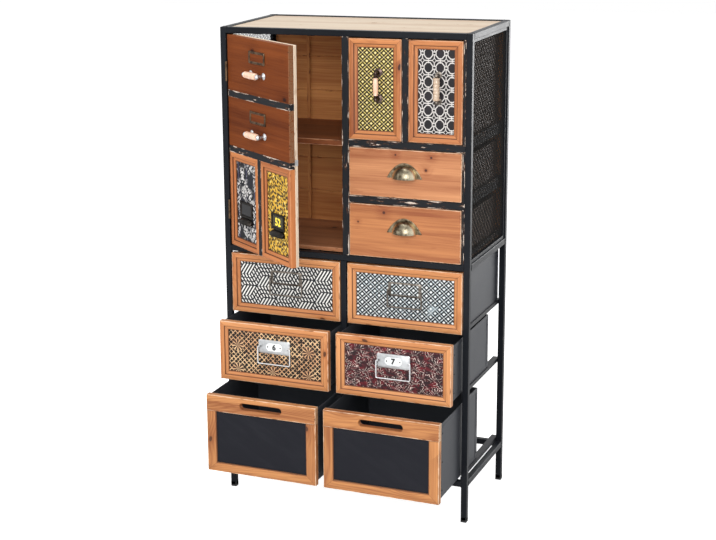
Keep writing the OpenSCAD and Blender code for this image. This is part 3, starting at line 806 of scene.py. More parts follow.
class Motif(Enum):
    """The traditional all-over patterns of the panels, each with what draws it."""

    TRELLIS = member(trellis)
    OCTAGONS = member(octagons)
    BLOCKS = member(blocks)
    SPRIGS = member(sprigs)
    FLOWERS = member(flowers)
    ROSETTES = member(rosettes)
    FERNS = member(ferns)


@dataclass(frozen=True)
class Pattern(Finish):
    """A panel covered with one motif in two inks, under satin lacquer.

    The motif is drawn from the place on the panel, x to the right and y up. The pitch
    is the width of one repeat, aspect that width over its height, and origin the
    middle of one repeat, from the panel's middle.
    """

    name: str
    motif: Motif
    pitch: float
    ground: Colour
    ground_two: Colour
    ink: Colour
    accent: Colour
    worn: float = 0.2
    aspect: float = 1.0
    origin: tuple[float, float] = (0.0, 0.0)
    clouds: float = 16.0

    def dress(self, graph: Graph) -> Material:
        """Grounds are clouded, then the motif's two masks lay ink and accent over it.

        Args:
            graph: the material's graph.

        Returns:
            The material.
        """
        place = graph.read("local")
        cloud = graph.noise(place, self.clouds, 3.0)
        rub = graph.noise(place, 55.0, 4.0, 0.7)
        fine = graph.noise(place, 700.0)
        wide, tall = 1 / self.pitch, self.aspect / self.pitch
        start = (0.5 - self.origin[0] * wide, 0.5 - self.origin[1] * tall, 0.0)
        repeats = {"Vector": place, "Scale": (wide, tall, wide), "Location": start}
        x, y, _ = graph.split(graph.wired("ShaderNodeMapping", repeats))
        ink, accent = self.motif.value(graph, x, y)
        colour = graph.mix(cloud.step(0.38, 0.62), self.ground, self.ground_two)
        ink = ink * (1.0 - rub.step(0.55, 0.75) * self.worn)
        colour = graph.mix(ink, colour, self.ink)
        colour = graph.mix(accent, colour, self.accent)
        return graph.finish(colour, rub * 0.2 + 0.42, fine + ink * 0.5, 0.08 * MM,
                            Specular_IOR_Level=0.3)


# Finishes in use


STEEL = Paint("steel_paint", (0.008, 0.0095, 0.0125), (0.25, 0.24, 0.22), rough=0.36, gloss=0.13)
CAD_STEEL = Paint("runner_paint", (0.009, 0.01, 0.013), (0.2, 0.19, 0.18), on_cad=True)
WIRE = Paint("wire_paint", (0.02, 0.019, 0.018), (0.2, 0.19, 0.18), on_cad=True, gloss=0.1)
SHEET = Paint("sheet_powder", (0.035, 0.038, 0.045), (0.15, 0.15, 0.15), on_cad=True, rough=0.45)
RED_WOOD = Wood(
    "stained_pine", (0.56, 0.22, 0.078), (0.27, 0.08, 0.028), (0.05, 0.016, 0.01), (0.7, 0.42, 0.26),
    (0.5, 0.3, 0.18), figure=0.16, knots=0.15, wear=0.8, contrast=1.15, shade_lines=(0.17, 0.93),
    framed=True)
DOOR_FRAME_WOOD = Wood(
    "door_frame_pine", (0.57, 0.21, 0.072), (0.28, 0.08, 0.025), (0.04, 0.013, 0.007), (0.6, 0.3, 0.16),
    (0.4, 0.24, 0.14), figure=0.2, knots=0.1, wear=0.5, gloss=0.2, shade_lines=(0.17, 0.93), framed=True)
DOOR_WOOD = Wood(
    "door_pine", (0.205, 0.051, 0.0112), (0.076, 0.0148, 0.0034), (0.025, 0.008, 0.005),
    (0.3, 0.12, 0.055), (0.19, 0.09, 0.045), figure=0.08, knots=0.3, wear=0.3, contrast=0.75, gloss=0.07)
PINE = Wood(
    "honey_pine", (0.65, 0.29, 0.115), (0.42, 0.145, 0.045), (0.11, 0.038, 0.016), (0.82, 0.6, 0.42),
    (0.6, 0.38, 0.2), figure=0.2, knots=0.25, wear=0.9, smudge=0.5, shade_lines=(0.17, 0.93), framed=True)
BIN_PINE = Wood(
    "bin_pine", (0.55, 0.24, 0.085), (0.28, 0.095, 0.032), (0.09, 0.03, 0.012), (0.82, 0.6, 0.42),
    (0.6, 0.36, 0.2), figure=0.35, knots=0.35, wear=0.95, contrast=1.2, shade_lines=(0.93,), framed=True)
HEAD_PINE = replace(BIN_PINE, name="head_pine", knots=0.4, wear=0.75, shade_lines=(), framed=False)
CUP_WOODS = {
    key: Wood(f"{key}_pine", light, (0.27, 0.08, 0.03), (0.07, 0.022, 0.013),
              (0.72, 0.48, 0.33), (0.6, 0.36, 0.22), figure=0.1, knots=0.0, wear=0.9,
              contrast=0.95, smudge=0.6, spots=spots)
    for key, light, spots in (
        ("cup_high", (0.56, 0.25, 0.112),
         ((-0.023, 0.046, 0.003), (0.066, 0.044, 0.0035), (0.053, 0.013, 0.004))),
        ("cup_low", (0.54, 0.22, 0.082), ((-0.052, 0.047, 0.0045), (-0.118, 0.02, 0.0025))),
    )
}
PALE_WOOD = Wood(
    "pale_pine", (0.66, 0.56, 0.44), (0.53, 0.4, 0.29), (0.28, 0.15, 0.075), (0.82, 0.7, 0.55),
    (0.74, 0.58, 0.42), figure=0.25, knots=0.15, wear=0.5, gloss=0.1)
BOX_WOOD = Wood(
    "box_wood", (0.1, 0.055, 0.03), (0.05, 0.024, 0.012), (0.03, 0.015, 0.008), (0.16, 0.1, 0.06),
    (0.14, 0.08, 0.045), figure=0.2, knots=0.1, wear=0.4, gloss=0.2)
BACK_WOOD = Wood(
    "back_pine", (0.48, 0.2, 0.065), (0.26, 0.085, 0.025), (0.05, 0.016, 0.008), (0.4, 0.17, 0.06),
    (0.5, 0.3, 0.15), figure=0.2, knots=0.2, wear=0.1, gloss=0.15)
DECK_WOOD = Wood(
    "deck_pine", (0.4, 0.165, 0.075), (0.19, 0.068, 0.03), (0.04, 0.015, 0.01), (0.5, 0.26, 0.15),
    (0.3, 0.16, 0.09), figure=0.2, knots=0.1, wear=0.6, gloss=0.2)
# a darker copy of the red pine: painted shade on the shelf inside the cupboard
SHADED_SHELF_WOOD = Wood(
    "shaded_shelf_pine", (0.2, 0.062, 0.022), (0.1, 0.028, 0.011), (0.03, 0.01, 0.007), (0.55, 0.28, 0.16),
    (0.3, 0.16, 0.09), figure=0.2, knots=0.1, wear=0.8, gloss=0.15)
BLACK_WOOD = PaintedWood(
    "black_paint", (0.01, 0.011, 0.013), (0.075, 0.035, 0.022), (0.62, 0.53, 0.45), 0.75)
BRONZE = Metal("dark_bronze", (0.24, 0.15, 0.085), (0.045, 0.028, 0.018), 0.42, 0.7)
PEWTER = Metal("pewter", (0.36, 0.32, 0.28), (0.1, 0.085, 0.07), 0.4, 0.7)
STEEL_BRIGHT = Metal("bright_steel", (0.8, 0.82, 0.83), (0.5, 0.51, 0.52), 0.34, 0.4)
WHITE_STEEL = Metal("white_steel", (0.97, 0.98, 0.99), (0.8, 0.82, 0.84), 0.3, 0.3)
# its last number paints shade on the cup towards its ends along X
CUP_METAL = Metal("cup_brass", (0.86, 0.78, 0.56), (0.05, 0.036, 0.022), 0.3, 0.25, 1.0)
CUP_RIM = Metal("cup_rim", (0.6, 0.5, 0.33), (0.06, 0.04, 0.025), 0.36, 0.4)
BLACK_METAL = Metal("black_pull", (0.05, 0.042, 0.036), (0.012, 0.011, 0.01), 0.4, 0.6)
ROSE_METAL = Metal("rose_bronze", (0.2, 0.14, 0.12), (0.03, 0.02, 0.018), 0.3, 0.6)
PEACH = Glaze("peach_glaze", (0.84, 0.5, 0.34), (0.9, 0.68, 0.52))
CREAM = Glaze("cream_glaze", (0.5, 0.36, 0.25), (0.62, 0.5, 0.38))
RUBBER = Plastic("foot_plastic", (0.012, 0.012, 0.013))
BOARD = Chalkboard("board_paint", (0.012, 0.0125, 0.017), (0.2, 0.21, 0.23))
CARD = Plastic("label_card", (0.62, 0.64, 0.64))
DARK_CARD = Plastic("dark_card", (0.03, 0.026, 0.01))
INK = Plastic("numeral_ink", (0.012, 0.012, 0.013))
GOLD_INK = Plastic("gold_ink", (0.85, 0.65, 0.06))

PATTERNS = {
    "tall_left": Pattern(
        "olive_trellis", Motif.TRELLIS, 21.2 * MM, (0.6, 0.47, 0.075), (0.48, 0.4, 0.045),
        (0.008, 0.006, 0.003), (0.86, 0.72, 0.38), 0.2, 21.2 / 19.8, (-1.3 * MM, 7.3 * MM)),
    "tall_right": Pattern(
        "octagon_lattice", Motif.OCTAGONS, 28.8 * MM, (0.006, 0.0055, 0.007), (0.014, 0.011, 0.014),
        (0.62, 0.59, 0.56), (0.5, 0.5, 0.5), 0.15, 28.8 / 33.4, (9.0 * MM, -10.4 * MM)),
    "mid_left": Pattern(
        "tumbling_blocks", Motif.BLOCKS, 105.0 * MM, (0.84, 0.83, 0.79), (0.76, 0.76, 0.73),
        (0.006, 0.008, 0.011), (0.5, 0.5, 0.5), 0.1, 105.0 / 57.0, (-64.0 * MM, 22.0 * MM)),
    "mid_right": Pattern(
        "blue_trellis", Motif.TRELLIS, 22.0 * MM, (0.6, 0.66, 0.68), (0.42, 0.52, 0.57),
        (0.005, 0.007, 0.01), (0.82, 0.84, 0.82), 0.2, 22.0 / 20.7),
    "number_left": Pattern(
        "rosette_lattice", Motif.ROSETTES, 95.5 * MM, (0.78, 0.54, 0.3), (0.58, 0.33, 0.17),
        (0.008, 0.005, 0.004), (0.035, 0.012, 0.01), 0.15, 95.5 / 62.0, (-4.5 * MM, 15.0 * MM)),
    "number_right": Pattern(
        "crimson_ferns", Motif.FERNS, 36.0 * MM, (0.13, 0.007, 0.013), (0.05, 0.004, 0.008),
        (0.62, 0.5, 0.45), (0.007, 0.005, 0.007), 0.3, clouds=34.0),
    "door_left": Pattern(
        "feathered_strokes", Motif.FLOWERS, 40.0 * MM, (0.004, 0.005, 0.008), (0.007, 0.008, 0.016),
        (0.7, 0.68, 0.66), (0.1, 0.09, 0.2), 0.1),
    "door_right": Pattern(
        "golden_sprigs", Motif.SPRIGS, 9.0 * MM, (0.72, 0.42, 0.045), (0.56, 0.33, 0.03),
        (0.035, 0.018, 0.005), (0.88, 0.68, 0.2), 0.1),
}


# Shapes


@dataclass
class Shell:
    """A closed surface, and for each of its points where it lies in its own board."""

    points: Array
    faces: list[tuple[int, ...]]
    local: Array
    half: Triple
    seed: float = 0.0
    finish: Finish = STEEL

    def moved(self, matrix: Array) -> "Shell":
        """The same shell at another place: its points times a 4 by 4 matrix."""
        return replace(self, points=carried(self.points, matrix))


def turn(axis: int, degrees: float, pivot: Triple = (0, 0, 0)) -> Array:
    """Matrix that turns about a line along an axis.

    Args:
        axis: 0, 1 or 2.
        degrees: angle, by the right-hand rule.
        pivot: a point on the line.

    Returns:
        The 4 by 4 matrix.
    """
    angle, matrix = math.radians(degrees), np.eye(4)
    a, b = (axis + 1) % 3, (axis + 2) % 3
    matrix[a, a] = matrix[b, b] = math.cos(angle)
    matrix[a, b], matrix[b, a] = -math.sin(angle), math.sin(angle)
    matrix[:3, 3] = np.array(pivot) - matrix[:3, :3] @ np.array(pivot)
    return matrix


def shift(x: float, y: float, z: float) -> Array:
    """Matrix that moves by a vector."""
    matrix = np.eye(4)
    matrix[:3, 3] = x, y, z
    return matrix


def carried(points: Array, matrix: Array) -> Array:
    """Points times a 4 by 4 matrix."""
    return points @ matrix[:3, :3].T + matrix[:3, 3]


def welded(points: Array, faces: list[tuple[int, ...]]) -> tuple[Array, list[tuple[int, ...]]]:
    """Merges points that coincide, and drops faces that close up.

    Args:
        points: the points.
        faces: their faces.

    Returns:
        The points that are left, and the faces on them.
    """
    _, first, inverse = np.unique(np.round(points, 7), axis=0, return_index=True, return_inverse=True)
    inverse = inverse.ravel()
    kept = []
    for face in faces:
        ring = [int(inverse[i]) for i in face]
        ring = [v for k, v in enumerate(ring) if v != ring[k - 1]]
        if len(set(ring)) >= 3:
            kept.append(tuple(ring))
    return points[first], kept


def block(low: Point, high: Point, along: int, seed: float, finish: Finish) -> Shell:
    """A board between two corners, with its grain along one axis.

    Args:
        low: lowest corner.
        high: highest corner.
        along: axis of the grain, 0, 1 or 2.
        seed: number that makes its grain its own.
        finish: its finish.

    Returns:
        The board: eight corners, each at the middle plus or minus half the size.
    """
    low, high = np.asarray(low, float), np.asarray(high, float)
    size = (high - low) / 2
    others = sorted((i for i in range(3) if i != along), key=lambda i: -size[i])
    order = [along, *others]
    signs = np.array([[x, y, z] for x in (-1, 1) for y in (-1, 1) for z in (-1, 1)], float)
    points = (low + high) / 2 + signs * size
    faces = [(0, 1, 3, 2), (4, 6, 7, 5), (0, 4, 5, 1), (2, 3, 7, 6), (0, 2, 6, 4), (1, 5, 7, 3)]
    return Shell(points, faces, (signs * size)[:, order], tuple(size[order]), seed, finish)


def grid(points: Array, ring_u: bool, ring_v: bool, finish: Finish, seed: float = 0.0,
         caps: bool = True, local: Array | None = None,
         half: Triple | None = None) -> Shell:
    """A closed shell on a grid of points.

    Args:
        points: array of u by v by 3.
        ring_u: True if the last u joins the first.
        ring_v: True if the last v joins the first.
        finish: its finish.
        seed: number of its grain.
        caps: closes the first and last u with one face each, where u is open.
        local: place of each point in its own board, or none for the points themselves.
        half: half sizes of that board.

    Returns:
        The shell, with coinciding points merged.
    """
    rows, columns = points.shape[:2]
    index = np.arange(rows * columns).reshape(rows, columns)
    a = index if ring_u else index[:-1]
    b = np.roll(index, -1, 0) if ring_u else index[1:]
    if ring_v:
        a2, b2 = np.roll(a, -1, 1), np.roll(b, -1, 1)
    else:
        a, b, a2, b2 = a[:, :-1], b[:, :-1], a[:, 1:], b[:, 1:]
    faces = [tuple(q) for q in np.stack([a, a2, b2, b], -1).reshape(-1, 4).tolist()]
    if caps and not ring_u:
        faces += [tuple(index[0][::-1].tolist()), tuple(index[-1].tolist())]
    flat = points.reshape(-1, 3)
    centre = (flat.min(0) + flat.max(0)) / 2
    own = flat - centre if local is None else local.reshape(-1, 3)
    both, faces = welded(np.hstack([flat, own]) if local is not None else flat, faces)
    spread = tuple((flat.max(0) - flat.min(0)) / 2) if half is None else half
    if local is None:
        return Shell(both, faces, both - centre, spread, seed, finish)
    return Shell(both[:, :3], faces, both[:, 3:], spread, seed, finish)


def turned(radii: Array, heights: Array, finish: Finish, sides: int = 28) -> Shell:
    """A turned form about Z: each radius goes round a circle at its height.

    Args:
        radii: radii from the bottom up, 0 at both ends.
        heights: the height of each.
        finish: its finish.
        sides: points round the circle.

    Returns:
        The form.
    """
    angle = np.linspace(0, 2 * math.pi, sides, endpoint=False)
    r, z = np.asarray(radii, float)[:, None], np.asarray(heights, float)[:, None]
    points = np.stack([r * np.cos(angle), r * np.sin(angle), z + 0 * angle], -1)
    return grid(points, False, True, finish, caps=False)


def tube(path: Array, radius: float, normal: Array, finish: Finish, sides: int = 12,
         ring: bool = False) -> Shell:
    """A round bar along a path that lies in a plane.

    At each point of the path, a circle stands square to the path's direction: radius
    times cosine along the plane's normal, plus radius times sine along the normal
    crossed with the direction.

    Args:
        path: the points.
        radius: of the bar.
        normal: normal of the path's plane.
        finish: its finish.
        sides: points round the bar.
        ring: True if the path closes.

    Returns:
        The bar, with flat ends where it is open.
    """
    ahead = (np.roll(path, -1, 0) - np.roll(path, 1, 0)) if ring else np.gradient(path, axis=0)
    ahead = ahead / np.linalg.norm(ahead, axis=1, keepdims=True)
    normal = np.broadcast_to(np.asarray(normal, float), path.shape)
    side = np.cross(normal, ahead)
    side = side / np.linalg.norm(side, axis=1, keepdims=True)
    angle = np.linspace(0, 2 * math.pi, sides, endpoint=False)[None, :, None]
    points = path[:, None] + radius * (np.cos(angle) * normal[:, None] + np.sin(angle) * side[:, None])
    return grid(points, ring, True, finish)


def rounded(width: float, height: float, radius: float, steps: int = 6) -> Array:
    """Outline of a rectangle with round corners, about the origin.

    Each corner is a quarter circle of the radius about a point that lies the radius
    inside both sides.

    Args:
        width: of the rectangle.
        height: of the rectangle.
        radius: of its corners.
        steps: points for each corner.

    Returns:
        The points, anticlockwise, as an array of n by 2.
    """
    quarter = np.linspace(0, math.pi / 2, steps)
    parts = []
    for k, (sx, sy) in enumerate(((1, 1), (-1, 1), (-1, -1), (1, -1))):
        angle = quarter + k * math.pi / 2
        parts.append(np.stack([sx * (width / 2 - radius) + radius * np.cos(angle),
                               sy * (height / 2 - radius) + radius * np.sin(angle)], -1))
    return np.concatenate(parts)


def upright(outline: Array, depth: float) -> Array:
    """An outline's points in space: its first number is x, its second z."""
    return np.stack([outline[:, 0], np.full(len(outline), depth), outline[:, 1]], -1)


def lofted(outlines: list[Array], depths: list[float], finish: Finish, closed: bool = False,
           seed: float = 0.0) -> Shell:
    """Outlines with equal counts, each at its depth along Y, joined in order.

    Args:
        outlines: arrays of n by 2, x and z.
        depths: y of each outline.
        finish: its finish.
        closed: joins the last outline to the first, as round a window.
        seed: number of its grain.

    Returns:
        The shell; where it isn't closed, its first and last outlines are capped.
    """
    points = np.stack([upright(outline, y) for outline, y in zip(outlines, depths)])
    return grid(points, closed, True, finish, seed, caps=not closed)


def nested(width: float, height: float, thick: float, steps: tuple[Triple, ...],
           finish: Finish, closed: bool = False) -> Shell:
    """Round-cornered outlines inside each other, joined in order.

    Args:
        width: of an outline that lies 0 inside.
        height: of it.
        thick: unit of the depths.
        steps: for each outline, how far it lies inside and the radius of its corners,
            both in mm, and its depth.
        finish: its finish.
        closed: joins the last outline to the first, as round a window.

    Returns:
        The shell.
    """
    outlines = [rounded(width - 2 * inside * MM, height - 2 * inside * MM, radius * MM)
                for inside, radius, _ in steps]
    return lofted(outlines, [0.0 - depth * thick for *_, depth in steps], finish, closed)


def linked(name: str, data: bpy.types.ID) -> bpy.types.Object:
    """A new object in the scene's own collection."""
    item = bpy.data.objects.new(name, data)
    bpy.context.scene.collection.objects.link(item)
    return item


def seat(low: Array, high: Array) -> Array:
    """Matrix to the middle of a box's rear face, on which a fitting stands."""
    return shift((low[0] + high[0]) / 2, high[1], (low[2] + high[2]) / 2)


def vertices(mesh: bpy.types.Mesh) -> Array:
    """The points of a mesh."""
    points = np.empty(len(mesh.vertices) * 3, np.float32)
    mesh.vertices.foreach_get("co", points)
    return points.reshape(-1, 3).astype(float)


def corners(node: str) -> Box:
    """Lowest and highest corner of a CAD node at rest."""
    low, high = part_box(node)
    return np.array(low), np.array(high)


def cupped(reach: Triple, wall: float, power: float, steps: tuple[int, int],
           finish: Finish) -> Shell:
    """A quarter ellipsoid's shell in front of y = 0 and over z = 0, open underneath.

    A point lies at a cos u, -b f cos v, c f sin v, for u from 0 to pi and v from 0 to
    pi/2, where f is sin u to a power; under 1, it squares the shoulders. The inner skin
    is the same with each reach less by the wall.

    Args:
        reach: a, b and c of the outer skin.
        wall: thickness.
        power: of sin u.
        steps: points along u and along v.
        finish: its finish.

    Returns:
        The shell.
    """
    u, v = (np.linspace(0, end, n) for end, n in zip((math.pi, math.pi / 2), steps))
    full, v = np.sin(u[:, None]) ** power, v[None, :]
    skins = []
    for (a, b, c), w in ((reach, v), ([r - wall for r in reach], v[:, ::-1])):
        skins.append(np.stack([a * np.cos(u[:, None]) + 0 * w, -b * full * np.cos(w),
                               c * full * np.sin(w)], -1))
    return grid(np.concatenate(skins, 1), False, True, finish, caps=False)


def islands(node: str, back: Array = STILL) -> list[Box]:
    """Boxes of the separate solids of a CAD node.

    Triangles that share a corner are given the least of their labels until nothing
    changes, so each solid ends with one label.

    Args:
        node: the node's name.
        back: matrix applied to its points first, such as the one that closes the door.

    Returns:
        The lowest and highest corner of each solid, sorted from the floor up.
    """
    mesh = FRAME["nodes"][node].data
    points = carried(vertices(mesh), back)
    mesh.calc_loop_triangles()
    triangles = np.empty(len(mesh.loop_triangles) * 3, np.int32)
    mesh.loop_triangles.foreach_get("vertices", triangles)
    _, inverse = np.unique(np.round(points, 5), axis=0, return_inverse=True)
    triangles = inverse.ravel()[triangles].reshape(-1, 3)
    label = np.arange(int(inverse.max()) + 1)
    while True:
        new = label.copy()
        np.minimum.at(new, triangles.ravel(), np.repeat(label[triangles].min(1), 3))
        new = new[new]
        if (new == label).all():
            break
        label = new
    own = label[inverse.ravel()]
    boxes = [(points[own == k].min(0), points[own == k].max(0)) for k in np.unique(own)]
    return sorted(boxes, key=lambda b: (round(b[0][2], 3), round(b[0][1], 3), round(b[0][0], 3)))


class Piece:
    """One shown piece: its shells in one object that rides on a body."""

    def __init__(self, name: str, body: str, slot: str, place: Array = STILL) -> None:
        """Starts an empty piece.

        Args:
            name: the piece's name.
            body: the body that it moves with.
            slot: the record's material slot.
            place: matrix from the piece's own frame to the row frame.
        """
        self.name, self.body, self.slot, self.place = name, body, slot, place
        self.shells: list[Shell] = []

    def add(self, *shells: Shell, at: Array | None = None) -> "Piece":
        """Adds shells, moved by a matrix if there is one, and hands the piece back."""
        self.shells += shells if at is None else [shell.moved(at) for shell in shells]
        return self

    def mesh(self, finishes: list[Finish]) -> bpy.types.Mesh:
        """Joins the shells in one mesh.

        Each point keeps where it lies in its own board, that board's half sizes and
        its seed, as the attributes that the finishes read.

        Args:
            finishes: those of the shells, in the order of the material slots.

        Returns:
            The mesh, with its normals outwards.
        """
        points = carried(np.concatenate([s.points for s in self.shells]), self.place)
        faces, slots, start = [], [], 0
        for shell in self.shells:
            faces += [tuple(start + i for i in face) for face in shell.faces]
            slots += [finishes.index(shell.finish)] * len(shell.faces)
            start += len(shell.points)
        mesh = bpy.data.meshes.new(self.name)
        mesh.from_pydata(points.tolist(), [], faces)
        mesh.polygons.foreach_set("material_index", slots)
        mesh.polygons.foreach_set("use_smooth", [True] * len(faces))
        counts = [len(s.points) for s in self.shells]
        own = [("local", "FLOAT_VECTOR", "vector", np.concatenate([s.local for s in self.shells])),
               ("half", "FLOAT_VECTOR", "vector",
                np.repeat(np.array([s.half for s in self.shells]), counts, 0)),
               ("seed", "FLOAT", "value", np.repeat([s.seed for s in self.shells], counts))]
        for name, kind, channel, values in own:
            mesh.attributes.new(name, kind, "POINT").data.foreach_set(channel, values.ravel())
        shape = bmesh.new()
        shape.from_mesh(mesh)
        bmesh.ops.recalc_face_normals(shape, faces=shape.faces)
        shape.to_mesh(mesh)
        shape.free()
        return mesh

    def build(self, *nodes: str, bevel: float = 0.0, segments: int = 2,
              smooth: float = 35.0) -> bpy.types.Object:
        """Makes the object.

        Args:
            nodes: the CAD nodes that it stands for.
            bevel: width in metres by which its sharp edges are rounded.
            segments: steps of that rounding.
            smooth: angle in degrees under which faces shade as one, where no edge is
                rounded.

        Returns:
            The object.
        """
        finishes = list(dict.fromkeys(shell.finish for shell in self.shells))
        mesh = self.mesh(finishes)
        for finish in finishes:
            mesh.materials.append(finish.material())
        piece = linked(self.name, mesh)
        if bevel:
            cut = piece.modifiers.new("rounded edges", "BEVEL")
            cut.width, cut.segments, cut.limit_method = bevel, segments, "ANGLE"
            cut.harden_normals = True
        else:
            mesh.set_sharp_from_angle(angle=math.radians(smooth))
        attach(piece, self.body)
        if nodes:
            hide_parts(*nodes)
        LOG.info("%s: %d points on %s", self.name, len(mesh.vertices), self.body)
        return piece


def repaint(finish: Finish, *nodes: str) -> None:
    """Gives CAD nodes that stay in view a finish.

    Args:
        finish: the finish.
        nodes: the nodes.
    """
    for node in nodes:
        slots = FRAME["nodes"][node].data.materials
        slots.clear()
        slots.append(finish.material())
        LOG.info("%s: kept with %s", node, finish.name)


def boards(name: str, node: str, body: str, finish: Finish, slot: str, along: int | None = None,
           bevel: float = 0.8 * MM, place: Array = STILL) -> bpy.types.Object:
    """Replaces each solid of a node with a board of the same box.

    Args:
        name: the new piece's name.
        node: the CAD node.
        body: the body that it moves with.
        finish: its finish.
        slot: the record's material slot.
        along: axis of the grain, or none for each board's longest.
        bevel: rounding of its edges.
        place: matrix from the frame in which the node's boxes are square.

    Returns:
        The new piece.
    """
    piece = Piece(name, body, slot, place)
    for k, (low, high) in enumerate(islands(node, np.linalg.inv(place))):
        axis = int(np.argmax(high - low)) if along is None else along
        piece.add(block(low, high, axis, k * 1.37 + len(node), finish))
    return piece.build(node, bevel=bevel)


# Hardware


@dataclass
class Screws:
    """Domed screw heads with a crossed recess, standing on a plane that faces -Y."""

    radius: float = 2.6 * MM
    dome: float = 1.0 * MM
    finish: Finish = STEEL_BRIGHT

    def heads(self, spots: list[Triple], matrix: Array = STILL) -> list[Shell]:
        """One head at each spot.

        Args:
            spots: x, y and z of each head's seat.
            matrix: turns the heads from -Y to their own way out.

        Returns:
            The heads: a turned cap with a small dent in the middle.
        """
        r, d = self.radius, self.dome
        radii = np.array([0, r, r, 0.86 * r, 0.55 * r, 0.28 * r, 0.22 * r, 0])
        heights = np.array([-0.3 * MM, -0.3 * MM, 0.3 * d, 0.75 * d, 0.97 * d, d, 0.55 * d, 0.5 * d])
        head = turned(radii, heights, self.finish, 14)
        upright = turn(0, 90.0)
        return [head.moved(shift(*spot) @ matrix @ upright) for spot in spots]


@dataclass
class SpindlePull:
    """Two posts and the turned grip between them, along X, in front of y = 0.

    The bare length at each end of the grip is a metal collar that joins it to its post.
    A post's rose and its round head are given as shares of the post, and the lap is how
    far the grip reaches into both heads.
    """

    grip: float
    post: float
    metal: Finish
    glaze: Finish
    beads: bool = False
    rose: float = 2.3
    bare: float = 0.0
    span: float = 62 * MM
    reach: float = 18 * MM
    head: float = 1.45
    lap: float = 2.4 * MM

    def posts(self) -> list[Shell]:
        """Each post is a turned stem on a stepped rose, with a round head."""
        head = self.post * self.head
        stem = [(0, 0), (1, 0), (1, 0.25), (0.94, 0.5), (0.78, 0.7), (0.72, 0.95), (0.5, 1.3),
                (0.4, 2.0), (0.38, 2.6), (0.42, 3.1), (0.46, 3.3)]
        radii = [r * self.rose * self.post for r, _ in stem]
        heights = [h * 2 * MM for _, h in stem]
        arc = np.linspace(-0.9, math.pi / 2, 9)
        radii += list(head * np.cos(arc))
        heights += list(self.reach + head * np.sin(arc))
        radii[-1] = 0.0
        shell = turned(np.array(radii), np.array(heights), self.metal, 24).moved(turn(0, 90.0))
        shells = [shell.moved(shift(s * self.span / 2, 0, 0)) for s in (-1, 1)]
        if self.bare:
            radii = np.array([0, 0.9, 1.0, 0.86, 0.6, 0.8, 1.0, 0.9, 0]) * self.grip
            heights = np.array([0, 0, 0.12, 0.25, 0.5, 0.7, 0.85, 1, 1]) * (self.bare + 2 * MM)
            ring = turned(radii, heights, self.metal, 24)
            start = self.span / 2 - head - self.bare
            shells += [ring.moved(shift(s * start, -self.reach, 0) @ turn(1, s * 90.0))
                       for s in (-1, 1)]
        return shells

    def handle(self) -> Shell:
        """The grip: a flat swell between two collars, or a row of beads.

        The swell is a sine of the place along the grip to the power 0.6, and each
        collar a narrow bell curve near an end.
        """
        length = self.span - 2 * self.post * self.head - 2 * self.bare + self.lap
        t = np.linspace(0, 1, 81)
        swell = 0.76 + 0.24 * np.sin(math.pi * t) ** 0.6
        if self.beads:
            swell = 0.78 + 0.18 * np.abs(np.sin(math.pi * t * 7)) ** 0.6
        near = np.minimum(t, 1 - t)
        collar = np.clip(near / 0.012, 0, 1) ** 0.5
        swelling, groove = (np.exp(-((near - at) / 0.014) ** 2) for at in (0.05, 0.1))
        ring = 1 + 0.1 * swelling - 0.08 * groove
        radii = self.grip * swell * collar * ring
        shell = turned(radii, (t - 0.5) * length, self.glaze, 32)
        return shell.moved(shift(0, -self.reach, 0) @ turn(1, 90.0))


@dataclass
class CupPull:
    """A quarter shell on a flat rim, open underneath, in front of y = 0.

    The cup's half width is a share of the rim's width.
    """

    width: float
    height: float
    depth: float
    share: float = 0.35
    rim: float = 7 * MM
    wall: float = 1.8 * MM
    lip: float = 0.8 * MM
    steps: int = 49

    def shells(self) -> list[Shell]:
        """A cupped shell, and a rim whose outline is nearly a parabola, so it ends in points."""
        a, c, w = self.width * self.share, self.height - self.rim, self.wall
        lip = self.lip
        cup = cupped((a, self.depth, c), w, 1.0, (self.steps, 17), CUP_METAL)
        angle = np.linspace(0, math.pi, self.steps)
        outer = np.stack([self.width / 2 * np.cos(angle), self.height * np.sin(angle) ** 1.8], -1)
        inner = np.stack([(a - w) * np.cos(angle), (c - w) * np.sin(angle)], -1)
        rings = [(outer, 0.0), (outer, -1.2 * lip), (outer * 0.985, -2 * lip),
                 (outer * 0.95, -2 * lip), (inner * 1.1, -0.5 * lip), (inner * 1.02, -0.4 * lip),
                 (inner, 0.0)]
        rim = grid(np.stack([upright(o, d) for o, d in rings], 1), False, True, CUP_RIM)
        return [s.moved(shift(0, 0, -self.height / 2)) for s in (cup, rim)]


def numeral(text: str, size: float, finish: Finish, weight: float = 0.45 * MM) -> Shell:
    """A plain numeral as a thin solid that faces -Y, about the origin.

    Args:
        text: the figures.
        size: height of the letter box.
        finish: its finish.
        weight: by how much its strokes are thickened.

    Returns:
        The numeral.
    """
    curve = bpy.data.curves.new("numeral", "FONT")
    curve.body, curve.size, curve.extrude = text, size, 0.15 * MM
    curve.offset, curve.resolution_u = weight, 3
    holder = linked("numeral", curve)
    bpy.context.view_layer.update()
    mesh = bpy.data.meshes.new_from_object(holder.evaluated_get(
        bpy.context.evaluated_depsgraph_get()))
    points, faces = vertices(mesh), [tuple(p.vertices) for p in mesh.polygons]
    bpy.data.objects.remove(holder)
    bpy.data.curves.remove(curve)
    bpy.data.meshes.remove(mesh)
    points[:, :2] -= (points[:, :2].min(0) + points[:, :2].max(0)) / 2
    points, faces = welded(points, faces)
    return Shell(points, faces, points, (0.01, 0.01, 0.01), 0.0, finish).moved(turn(0, 90.0))


